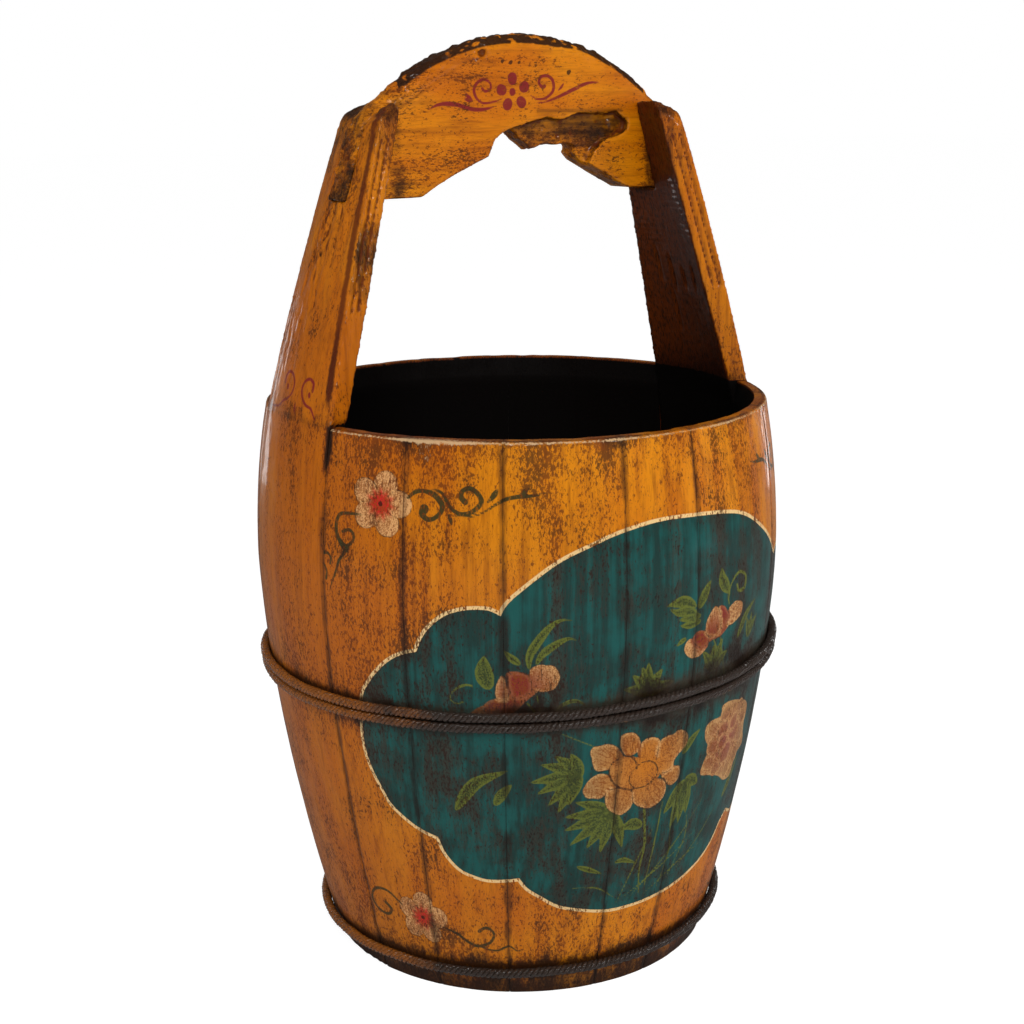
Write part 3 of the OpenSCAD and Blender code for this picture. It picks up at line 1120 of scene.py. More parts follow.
@dataclass
class Garden:
    """The painted panel with its peonies, buds, leaves and grass."""

    cream: Colour = dye(196, 146, 92)
    tan: Colour = dye(166, 122, 70)
    gold: Colour = dye(190, 110, 8)
    rose: Colour = dye(146, 74, 60)
    crimson: Colour = dye(122, 26, 26)
    plum: Colour = dye(66, 26, 26)
    edge: Tuple[Tuple[Point, ...], ...] = (
        ((-34.2, 246), (-32.6, 253.6), (-27.6, 265.5), (-22.5, 275.3), (-16.1, 282.9),
         (-10.1, 288.5), (-1.9, 292.1), (6.7, 291.5), (16, 288.8), (23.5, 283.6), (31.7, 271.3),
         (37.5, 260.5), (42.4, 248)),
        ((42.4, 248), (46, 250), (50, 248.5), (54, 243), (57, 233), (58.4, 222.7)),
        ((58.4, 222.7), (62, 219), (65.5, 211), (68.2, 200), (69.6, 187), (70, 169), (69.3, 150),
         (67.5, 133), (64.5, 120), (60, 111), (56.5, 107.8)),
        ((56.5, 107.8), (54.5, 97.6), (51, 88.3), (46, 83.5), (40, 83.5), (34, 90)),
        ((34, 90), (30.5, 84.4), (27.2, 74), (22.6, 66.8), (15.3, 60.7), (7.1, 56.9), (-1.7, 54.9),
         (-8.7, 55.2), (-15.5, 58.9), (-21.4, 63.3), (-25.8, 70.5), (-29, 76.5), (-30.9, 83.5)),
        ((-30.9, 83.5), (-33.3, 82.4), (-38.4, 81.9), (-41.9, 84.3), (-45, 88.3), (-47.9, 97.6),
         (-49.4, 107.8)),
        ((-49.4, 107.8), (-53.1, 111), (-56.2, 115.6), (-60.1, 123.8), (-61.6, 130.1),
         (-64.3, 144.6), (-65.5, 156.7), (-65.6, 169.3), (-64.6, 190.4), (-63, 198.2),
         (-60.7, 206.4), (-57.4, 215.1), (-54.2, 220.1), (-51.2, 222.7)),
        ((-51.2, 222.7), (-49.7, 232.1), (-47.6, 239.3), (-44.6, 245.6), (-40.6, 249.1),
         (-36.4, 249.1), (-34.2, 246)),
    )

    def paint(self, canvas: Canvas) -> None:
        """Paints the whole panel.

        Args:
            canvas: The surface.
        """
        lobes = [soft_curve(on_barrel(lobe), step=2.5)[:-1] for lobe in self.edge]
        canvas.area("panel", np.concatenate(lobes))
        self.leaves(canvas)
        self.grass(canvas)
        self.buds(canvas)
        self.peonies(canvas)

    def leaves(self, canvas: Canvas) -> None:
        """Paints the leaves.

        Args:
            canvas: The surface.
        """
        fans = (
            ((-17.8, 149), ((-28.5, 146.4), (-26.3, 157.6), (-23.4, 162.5), (-20, 163.5),
                            (-27, 139), (-22.4, 126.1), (-20, 131), (-24.6, 131)), 9.5),
            ((-9.4, 121), ((-18.6, 132.2), (-20.8, 123), (-20.8, 114), (-19.4, 103.9),
                           (-15.4, 100.5), (-12, 96.4), (-6.4, 97.4), (-8.3, 107)), 10),
            ((-3.6, 194), ((-4, 213), (2.7, 198.5), (-9.3, 199), (-7.5, 207), (-0.5, 208),
                           (-5.4, 211)), 8.5),
            ((9.8, 131), ((7, 101), (4.2, 113), (11.6, 108), (14, 126), (9.4, 103)), 11),
            ((13.6, 198), ((10, 212), (16.4, 216), (18.4, 207), (13.4, 214)), 8),
            ((27, 209), ((28.2, 224), (25.5, 222), (31, 220)), 6),
        )
        for root, tips, width in fans:
            for tip in tips:
                middle = ((root[0] * 0.5 + tip[0] * 0.5), (root[1] * 0.5 + tip[1] * 0.5 + 1.2))
                canvas.leaf(on_barrel((root, middle, tip)), width * 0.8)
        single = (
            (((-44.6, 128), (-40.2, 145), (-33.2, 154)), 8.0),
            (((-36, 132.5), (-34.2, 140), (-32.3, 145.5)), 6.5),
            (((-36.7, 205), (-37.6, 213.1), (-37.5, 223.1)), 10.0),
            (((-28.8, 216), (-28.6, 224), (-26.8, 232.4), (-24.6, 240), (-22.4, 243.3),
              (-20.4, 242.7)), 5.2),
            (((-27.3, 218.5), (-26.2, 223.8), (-24, 228.8), (-21.3, 232.4), (-19.5, 231.3)), 4.6),
            (((-30.6, 218.7), (-32.4, 222.7), (-33.7, 226.7)), 4.4),
            (((-23.5, 189.5), (-22.2, 193.4), (-19.9, 195.7), (-18, 193.9), (-16.7, 189.4)), 2.6),
            (((7, 240.4), (4.1, 244.6), (1.8, 244.7), (-0.2, 244.1)), 7.4),
            (((7.6, 235.9), (4.6, 238.9), (2.6, 239.2), (0.5, 241.7)), 6.6),
            (((8.2, 239.2), (9.6, 246.2), (11.4, 253.5)), 6.4),
            (((17, 243.8), (15.1, 251.3), (14.7, 258.3)), 8.0),
            (((8.6, 234.3), (5.7, 234.4), (2.7, 234.4)), 5.0),
            (((8.7, 231.1), (5.8, 230.1), (3, 231.1)), 4.6),
            (((5, 222.6), (3.5, 220.9), (2.4, 218.8)), 3.4),
            (((-2, 109.5), (-4.6, 111.8), (-7.1, 110)), 8.0),
            (((22, 212), (25, 224), (29.5, 231)), 5.0),
            (((15.3, 206.9), (12.6, 203.4), (10.5, 200.4)), 4.0),
            (((28, 104), (31, 116), (33, 127)), 6.0),
            (((7.6, 150), (10, 158), (12.4, 163)), 5.5),
            (((-7.8, 87.5), (-5.6, 88.2), (-1.9, 84)), 3.6),
            (((-17.3, 88.7), (-14.5, 85.8), (-10.8, 81.3)), 3.6),
        )
        for points, width in single:
            canvas.leaf(on_barrel(points), width)

    def grass(self, canvas: Canvas) -> None:
        """Paints the stems and the blades of grass.

        Args:
            canvas: The surface.
        """
        runs = (
            (((-1.6, 119.8), (-0.8, 108), (-0.1, 93), (-0.6, 78), (0.4, 61)), (1.8, 1.6, 1.4, 0.8)),
            (((3.4, 122), (2.8, 96), (1.8, 66)), (1.0, 1.2, 0.8)),
            (((-6, 58.5), (-2, 84), (1.9, 107)), (0.7, 1.3, 0.5)),
            (((-4, 62), (7, 78), (17.4, 92.5)), (0.7, 1.2, 0.5)),
            (((-3, 59), (9, 88), (19, 118)), (0.6, 1.3, 0.5)),
            (((2, 60), (12, 74), (23, 82)), (0.6, 1.1, 0.4)),
            (((-7, 63), (-12, 72), (-18, 74)), (0.6, 1.0, 0.4)),
            (((6, 62), (8, 84), (7, 104)), (0.6, 1.2, 0.5)),
            (((9, 66), (13, 90), (12, 108)), (0.6, 1.2, 0.5)),
            (((12, 70), (20, 88), (26, 104)), (0.6, 1.2, 0.5)),
            (((18, 247), (17.4, 238), (17.6, 234)), (0.8, 0.8, 0.7)),
            (((13, 217.7), (14.1, 212.6), (15.3, 206.9)), (0.9, 1.1, 0.9)),
            (((15.3, 217.7), (16.6, 205.9), (18.3, 190.9)), (0.9, 1.1, 0.9)),
            (((-29.1, 195.6), (-27.7, 190.7), (-26.1, 185.7)), (1.0, 1.1, 0.9)),
            (((-27.2, 200.3), (-26.8, 194.1), (-26.5, 188.5)), (0.8, 0.8, 0.8)),
            (((-39.9, 205.3), (-41.1, 205.8), (-42.7, 204.2), (-44.2, 200.4), (-44.5, 196.3),
              (-43.3, 194.4), (-41.9, 195.4)), (1.2, 1.6, 0.9, 0.7, 1.2)),
            (((17.6, 236), (17.1, 241.7), (18.8, 249), (21.2, 252.2), (23.5, 248.6), (23.3, 241.8),
              (21.1, 241.1), (20.3, 245.4)), (0.9, 1.2, 1.8, 1.6, 2.4, 1.6)),
            (((-22, 176), (-12, 162), (-9, 156)), (0.8, 0.8, 0.8)),
        )
        for points, widths in runs:
            canvas.stroke("leaf", on_barrel(points), widths)

    def buds(self, canvas: Canvas) -> None:
        """Paints the two opening buds.

        Args:
            canvas: The surface.
        """
        dark, cream, crimson = self.plum, self.cream, self.crimson
        for heart, reach, parts in (
            ((-30.2, 202.5), 21.0, (
                (dark, ((-41.1, 187.3), (-38, 193.9), (-34.8, 193.5), (-33.9, 188.7),
                        (-39, 185.5))),
                (dark, ((-38.5, 191.1), (-36.8, 196.8), (-33.8, 199.8), (-32.9, 205.2),
                        (-33.3, 213.3), (-31.1, 214.4), (-29.1, 212.6), (-27.9, 209.2),
                        (-26.8, 203.7), (-29.3, 197), (-32.5, 188.8), (-37.1, 187.8))),
                (cream, ((-28.8, 211.9), (-28.4, 215.9), (-26.8, 218.2), (-25.5, 217.7),
                         (-24.1, 217.5), (-23.2, 214.7), (-22.7, 210.6), (-23.2, 205.9),
                         (-24.3, 202.7), (-27, 202.3), (-28.6, 205.1))),
                (cream, ((-35.4, 199.7), (-35.3, 205.1), (-34.7, 209.9), (-34, 212.3),
                         (-33.4, 209.3), (-33.1, 203.9), (-32.9, 199.1), (-34.2, 197))),
                (crimson, ((-32.9, 209.3), (-32.4, 212.7), (-31.1, 213.7), (-29.3, 212.6),
                           (-28.4, 209.2), (-28.4, 202.4), (-30.2, 199.1), (-32, 199.1))),
            )),
            ((12.3, 219.7), 17.0, (
                (crimson, ((9.6, 221.5), (11, 225.4), (14.1, 221), (16.2, 224.1), (18, 227.2),
                           (19, 226.5), (17.9, 221.9), (15.3, 217.7), (12.5, 217), (10.6, 215.5))),
                (cream, ((7, 221.5), (5.6, 221.3), (4.8, 218.5), (4.8, 214.8), (6.2, 210.7),
                         (7.7, 209.3), (9.5, 210.3), (11.5, 214.4), (11.1, 217.4), (8.2, 217))),
                (crimson, ((10.4, 223.9), (8.4, 225.2), (7.2, 223.5), (6.8, 220.5), (8.2, 216.5),
                           (9.8, 214.4), (11.4, 216.6), (11.4, 220.5))),
                (cream, ((17.5, 231.9), (19, 234.6), (20.3, 235.5), (22.5, 233.7), (23.1, 230),
                         (22.6, 226.1), (20.9, 223.5), (18.6, 221.9), (17.5, 224.3))),
                (crimson, ((14, 235.7), (15.8, 235.7), (17.1, 232.1), (17.9, 228.3), (16.8, 224.8),
                           (15.1, 221.6), (14.3, 226.5))),
                (cream, ((10.6, 222.5), (10.5, 228.9), (11.5, 233.6), (13.1, 237.1), (14.3, 233.9),
                         (15, 229.3), (15.1, 222.7), (14.1, 219.1), (12, 219.9))),
            )),
        ):
            centre = on_barrel([heart])[0]
            for tip, outline in parts:
                paint = wash(self.crimson, tip, centre, reach)
                canvas.petal(on_barrel(outline), paint, 0.35, 0.5 if tip is cream else 0.2)
                canvas.hatch(on_barrel(outline), centre, 6)

    def peonies(self, canvas: Canvas) -> None:
        """Paints the two open peonies.

        Args:
            canvas: The surface.
        """
        paint = wash(self.gold, self.tan, on_barrel([(-2.6, 149)])[0], 34)
        for outline in (
            ((-4.8, 161.5), (-3.6, 165.5), (-1.8, 166.5), (0.5, 163.3), (0.9, 153.2), (-2.4, 152.2),
             (-4.6, 155.2)),
            ((-9.3, 167.1), (-9.1, 171), (-7.5, 172.3), (-5.7, 170.7), (-4.7, 166.7), (-4.4, 162.1),
             (-5.4, 158.3), (-7.4, 157.5), (-8.8, 161.7)),
            ((2, 144.1), (4.8, 144), (7, 142.5), (7.5, 137.5), (6.9, 133.4), (5.2, 131.4),
             (3.4, 134.1), (1.9, 139.6)),
            ((0.4, 146), (0.2, 155.1), (0.7, 162.8), (2.5, 164.8), (4, 164.7), (5.5, 166.6),
             (7.7, 164), (8.6, 159.3), (8.1, 154.3), (6.4, 151), (5.2, 147.3), (4.9, 143.1),
             (2.6, 141)),
            ((-15.5, 159), (-15.9, 163.5), (-15.2, 166.4), (-13.7, 166.7), (-12.1, 167),
             (-10.5, 165.5), (-9.2, 161.8), (-8.3, 156.1), (-9.9, 152.4), (-12.1, 150.6),
             (-14.3, 151), (-15.1, 154.4)),
            ((-17.1, 138.5), (-16.5, 143.3), (-15.1, 147.3), (-13.3, 148.9), (-11.3, 146.8),
             (-9.5, 140.6), (-9.7, 137.1), (-11.6, 135.2), (-13.2, 132.6), (-14.8, 133.7),
             (-16.1, 134.1)),
            ((-11.9, 132.5), (-11.4, 136.9), (-9.4, 137.8), (-7, 136.6), (-5.3, 133),
             (-4.9, 127.3), (-5.7, 122.2), (-7.7, 119.6), (-9.9, 122.5), (-11.4, 126.8)),
            ((-5.3, 134), (-4.6, 138.1), (-1.7, 136.4), (0.8, 138.5), (2.9, 136.2), (3.7, 132),
             (3.5, 125.7), (1.8, 121.3), (-0.5, 119.9), (-3.2, 122.7), (-4.8, 126.4)),
        ):
            canvas.petal(on_barrel(outline), paint, 0.45, 0.6)
            canvas.hatch(on_barrel(outline), on_barrel([(-4.5, 146)])[0], 8)
        heart = ((-11.4, 148.6), (-10.9, 154.6), (-9, 157.3), (-6.7, 157.1), (-4.6, 155.2),
                 (-1.8, 154.5), (0.6, 149.5), (1.7, 143.4), (0.8, 138.5), (-1.6, 135.5),
                 (-4.5, 135.3), (-7, 135.7), (-9.4, 138.7), (-10.9, 143))
        canvas.petal(on_barrel(heart), paint, 0.0, 0.0)
        for ring in (
            ((-9, 156.9), (-10.9, 154.2), (-11.3, 148.5), (-10.2, 141.8), (-8.4, 137.8),
             (-6.6, 136), (-5.2, 135.5)),
            ((-8.1, 157.8), (-6.4, 156.5), (-5.2, 152.8), (-4.7, 148.1)),
            ((-6.5, 141.8), (-6, 146.1), (-4.4, 150.2), (-2.7, 151.9), (-0.9, 150.4), (0.4, 146.9),
             (0.8, 142.1), (-0.3, 138.3), (-2.4, 135.5), (-4.5, 135.5), (-5.8, 137.9),
             (-6.5, 141.4)),
            ((0.8, 138.3), (2.4, 137.9), (3.5, 134.5), (3.7, 132)),
        ):
            canvas.stroke("ink", on_barrel(ring), (0.7, 0.9, 0.7))
        rose = wash(self.rose, self.tan, on_barrel([(23.4, 146)])[0], 26)
        whole = ((14.1, 161.4), (15.8, 164.5), (19.5, 165.1), (19.5, 171.3), (23.7, 171.4),
                 (31.4, 164.5), (33.8, 156.8), (33.5, 146.1), (35.5, 132.9), (31.6, 129.3),
                 (30.9, 123.4), (29.7, 116.1), (26.4, 116.6), (22.6, 123), (18.4, 127.2),
                 (14.8, 130.8), (15.2, 137.9), (16.5, 145.9), (14.5, 153.9))
        canvas.petal(on_barrel(whole), rose, 0.0, 0.3)
        for angle, z, r in (
            (17, 158.5, 6), (21.6, 165, 6.4), (28, 162, 7), (30.8, 154, 7), (31, 143, 7),
            (30, 131, 7), (26.4, 124, 6), (20.8, 130, 6), (17.4, 136, 6), (18, 146, 6.4),
            (21.4, 154, 7), (27, 149, 8), (24.4, 137, 8), (22, 146, 6), (26, 156, 6),
        ):
            outline = rounded(on_barrel([(angle, z)])[0], (r, r * 0.86), angle * 9)
            canvas.petal(outline, rose, 0.0, 0.5)
            canvas.hatch(outline, on_barrel([(24.5, 144)])[0], 5)


@dataclass
class Sprigs:
    """The plum flowers and scrolls on the golden ground beside the panel."""

    cream: Colour = dye(210, 156, 100)
    scarlet: Colour = dye(196, 16, 30)
    upper: Point = (-58.8, 303)
    lower: Point = (-56.3, 48.5)
    mirror: float = 1.2
    strokes: Strokes = (
        (((-52.7, 307.7), (-51.2, 311.2), (-49.3, 312.1), (-47.1, 310.1), (-45.6, 305.3),
          (-45.8, 301.6), (-47, 298.2), (-48.5, 297.1), (-49.6, 299.8), (-49.2, 302.6)),
         (1.6, 2.4, 2.2, 3.0, 3.2, 2.6, 2.4, 3.0, 5.2)),
        (((-48.6, 312.4), (-46.9, 313), (-45.4, 310.9), (-44.4, 306), (-43.2, 302.5),
          (-41.8, 301), (-40, 301.8), (-38.4, 305.1), (-37.8, 308.5), (-38.8, 312.7),
          (-40.2, 314.7), (-41.6, 313), (-41.8, 309.7), (-41, 307.4)),
         (0.8, 1.6, 2.0, 2.2, 2.4, 2.8, 2.6, 2.4, 3.2)),
        (((-36.7, 307.3), (-35.6, 310.5), (-34.7, 314.3)), (0.8, 2.4, 3.4, 1.2)),
        (((-43.2, 299.4), (-40.8, 299.2), (-38.5, 300.8), (-36.3, 304.1), (-34.8, 306.8),
          (-33.1, 309.2), (-30.9, 310.5), (-28.1, 310.9), (-25.2, 312.4)),
         (0.5, 0.8, 1.2, 1.6, 2.2, 2.4, 1.6, 0.6)),
        (((-30.2, 311), (-29.4, 313.4), (-28.6, 315)), (1.2, 3.2, 1.0)),
        (((-44.3, 300.6), (-43.9, 298), (-43.6, 295.2)), (1.0, 2.4, 1.0)),
        (((-62.8, 295.6), (-65.8, 295.4), (-68.6, 294), (-69.6, 288.7), (-69.4, 283.1),
          (-68.5, 279), (-67, 275.4)), (0.8, 1.6, 2.0, 2.2, 2.4, 2.8, 4.6)),
        (((-67.4, 275.5), (-65.4, 279.7), (-65, 283.8), (-66.2, 286.3), (-67.8, 284.6)),
         (2.4, 1.8, 1.8, 2.2)),
        (((-66.9, 274.4), (-68.7, 268.3), (-69.5, 262.3), (-70.6, 255.5), (-71.6, 249)),
         (2.0, 1.8, 1.6, 1.2, 0.8)),
        (((-73.2, 270.4), (-72.1, 270.9), (-71, 268.8), (-71.2, 265)), (2.2, 1.6, 1.4)),
        (((-73.2, 264.3), (-72.2, 260.7), (-72.4, 256)), (1.6, 1.4, 1.8)),
        (((-62, 54), (-66, 61), (-70, 60), (-72.2, 53), (-71, 45.5), (-67.6, 43.5), (-66, 48),
          (-67.6, 52)), (1.0, 1.8, 2.0, 2.0, 1.8, 2.0, 2.6)),
        (((-50.4, 44), (-47, 41), (-44.4, 36), (-41.6, 33.5), (-38.4, 37), (-37.4, 43.5),
          (-39.2, 47.5), (-41.2, 44.4)), (1.0, 1.8, 2.0, 2.2, 2.0, 1.8, 2.4)),
        (((-40.6, 32.4), (-37, 31), (-33.6, 34.5), (-31.4, 31), (-29.6, 33)),
         (0.8, 1.6, 1.8, 1.2, 0.8)),
    )

    def paint(self, canvas: Canvas) -> None:
        """Paints the sprigs on both sides of the panel.

        Args:
            canvas: The surface.
        """
        for mirror in (None, self.mirror):
            for points, widths in self.strokes:
                canvas.stroke("scroll", on_barrel(points, mirror), widths)
            for centre, turn in ((self.upper, 14), (self.lower, 8)):
                self.plum(canvas, on_barrel([centre], mirror)[0], turn)

    def plum(self, canvas: Canvas, centre: Point, turn: float) -> None:
        """Paints one plum flower.

        Args:
            canvas: The surface.
            centre: Its heart.
            turn: How far it is turned, in degrees.
        """
        inner, outer = np.array(self.scarlet), np.array(self.cream)

        def paint(x: np.ndarray, y: np.ndarray) -> np.ndarray:
            """Red at the heart, cream beyond it."""
            r = np.hypot(x - centre[0], y - centre[1])
            r = r + 1.4 * np.sin(np.arctan2(y - centre[1], x - centre[0]) * 11)
            t = ramp(r, 5.2, 4.2)[:, None]
            return inner * (1 - t) + outer * t

        for k in range(5):
            a = math.radians(72 * k + 90 - turn)
            spot = (centre[0] + 11.4 * math.cos(a), centre[1] + 10.6 * math.sin(a))
            canvas.petal(rounded(spot, (7.8, 7.4), math.degrees(a)), paint, 0.5, 0.3)
        canvas.petal(rounded(centre, (6.4, 6.0)), paint, 0.0, 0.0)
        canvas.stroke("ink", [centre, (centre[0] + 0.1, centre[1])], (2.6, 2.6), soft=False)


# --------------------------------------------------------------------------
# Sub-assemblies
# --------------------------------------------------------------------------
@dataclass
class Staves:
    """The plain staves of the barrel."""

    barrel: Barrel
    finish: bpy.types.Material
    painted_cell: float = 1.15
    plain_cell: float = 2.4
    seam_depth: float = 0.3

    def build(self) -> None:
        """Models, wears and paints every stave."""
        for node, (start, end) in self.barrel.joints().items():
            front = node.startswith("front")
            piece = self.model(node, start, end, self.painted_cell if front else self.plain_cell)
            self.wear(piece, start, end)
            self.paint(piece, front)
            take(piece)
            bpy.ops.object.shade_smooth_by_angle(angle=math.radians(40))
            dress(piece, self.finish, node)

    def model(self, node: str, start: float, end: float, cell: float) -> bpy.types.Object:
        """Spins the section from one joint to the next.

        Args:
            node: The solid that it stands for.
            start: The first joint, degrees anticlockwise from +X.
            end: The second joint.
            cell: How close the points lie.

        Returns:
            The stave.
        """
        section = self.barrel.section(cell) * MM
        deselect()
        bpy.ops.mesh.primitive_circle_add(vertices=len(section), radius=0.1, fill_type="NOTHING")
        piece = bpy.context.object
        piece.name = piece.data.name = f"worn_{node}"
        slack = math.degrees(self.barrel.gap / 2 / self.barrel.belly_r)
        a = math.radians(start + slack)
        sweep = math.radians(end - start - 2 * slack)
        ring = np.c_[section[:, 0] * math.cos(a), section[:, 0] * math.sin(a), section[:, 1]]
        move_to(piece.data, ring)
        steps = max(6, round(sweep * self.barrel.belly_r / cell))
        edit(
            piece,
            lambda: bpy.ops.mesh.spin(
                steps=steps, angle=-sweep, center=(0, 0, 0), axis=(0, 0, 1), dupli=False
            ),
            lambda: bpy.ops.mesh.select_all(action="SELECT"),
            lambda: bpy.ops.mesh.remove_doubles(threshold=1e-7),
            lambda: bpy.ops.mesh.fill_holes(sides=0),
            lambda: bpy.ops.mesh.normals_make_consistent(inside=False),
        )
        return piece

    def wear(self, piece: bpy.types.Object, start: float, end: float) -> None:
        """Rounds the joints and roughens the surface.

        Args:
            piece: The stave.
            start: Its first joint.
            end: Its second joint.
        """
        p = places(piece.data)
        radius, z, angle = polar(p)
        gap = np.radians(np.minimum((angle - start) % 360, (end - angle) % 360)) * PAINT_R
        outside = radius > self.barrel.outer(z) - 4
        dent = self.seam_depth * hump(gap, 0.9)
        dent -= 0.16 * roughness_at(p * (1, 1, 0.35), 0.011, 3)
        dent -= 0.07 * roughness_at(p * (1, 1, 0.3), 0.0035, 4)
        edge = np.exp(-np.clip(self.barrel.rim_z - z, 0, None) / 3.5)
        dent += edge * np.clip(roughness_at(p, 0.005, 5), 0, 1) * 0.9
        p[:, :2] *= (1 - dent * outside / radius)[:, None]
        p[:, 2] -= edge * np.clip(roughness_at(p, 0.009, 6), 0, 1) * 0.6 * MM
        move_to(piece.data, p)

    def paint(self, piece: bpy.types.Object, front: bool) -> None:
        """Writes the paint, the dirt and a painted rim highlight and sheen to the stave.

        Args:
            piece: The stave.
            front: Whether it is on the painted side.
        """
        barrel = self.barrel
        radius, z, angle = polar(places(piece.data))
        across = turned(angle, FRONT)
        outside = radius > barrel.outer(z) - 3.2
        depth = (barrel.outer(z) - radius) / barrel.wall
        # Painted light near the rim: the pale rim line is rubbed wear and also a painted highlight;
        # sheen and pale paint a lamp's reflection just under the rim.
        rim = 1.3 * np.exp(-np.abs(z - barrel.rim_z + 1.0) / 1.1) * (depth < 0.45)
        sheen = hump(angle - 224, 7) * np.exp(-(barrel.rim_z - z) / 12)
        pale = hump(across + 49, 3.5) * hump(z - 331, 9)
        for name, values in (
            ("inside", np.where(z > barrel.rim_z - 0.5, 0.3, depth * 2.2 - 0.2)),
            ("crowd", barrel.crowd(across, z)),
            ("grime_and_shade", barrel.soil(angle, z) * outside),
            ("seam", 1 - barrel.joint_distance(angle, z) / SEAM_REACH_MM),
            ("tone", barrel.tone(across)),
            ("worn", 0.75 * rim + np.maximum(0.45 * sheen, 0.5 * pale) * outside),
        ):
            write_value(piece.data, name, values)
        if not front:
            return
        canvas = Canvas(across * PER_DEGREE, z, outside)
        Garden().paint(canvas)
        Sprigs().paint(canvas)
        canvas.store(piece.data)


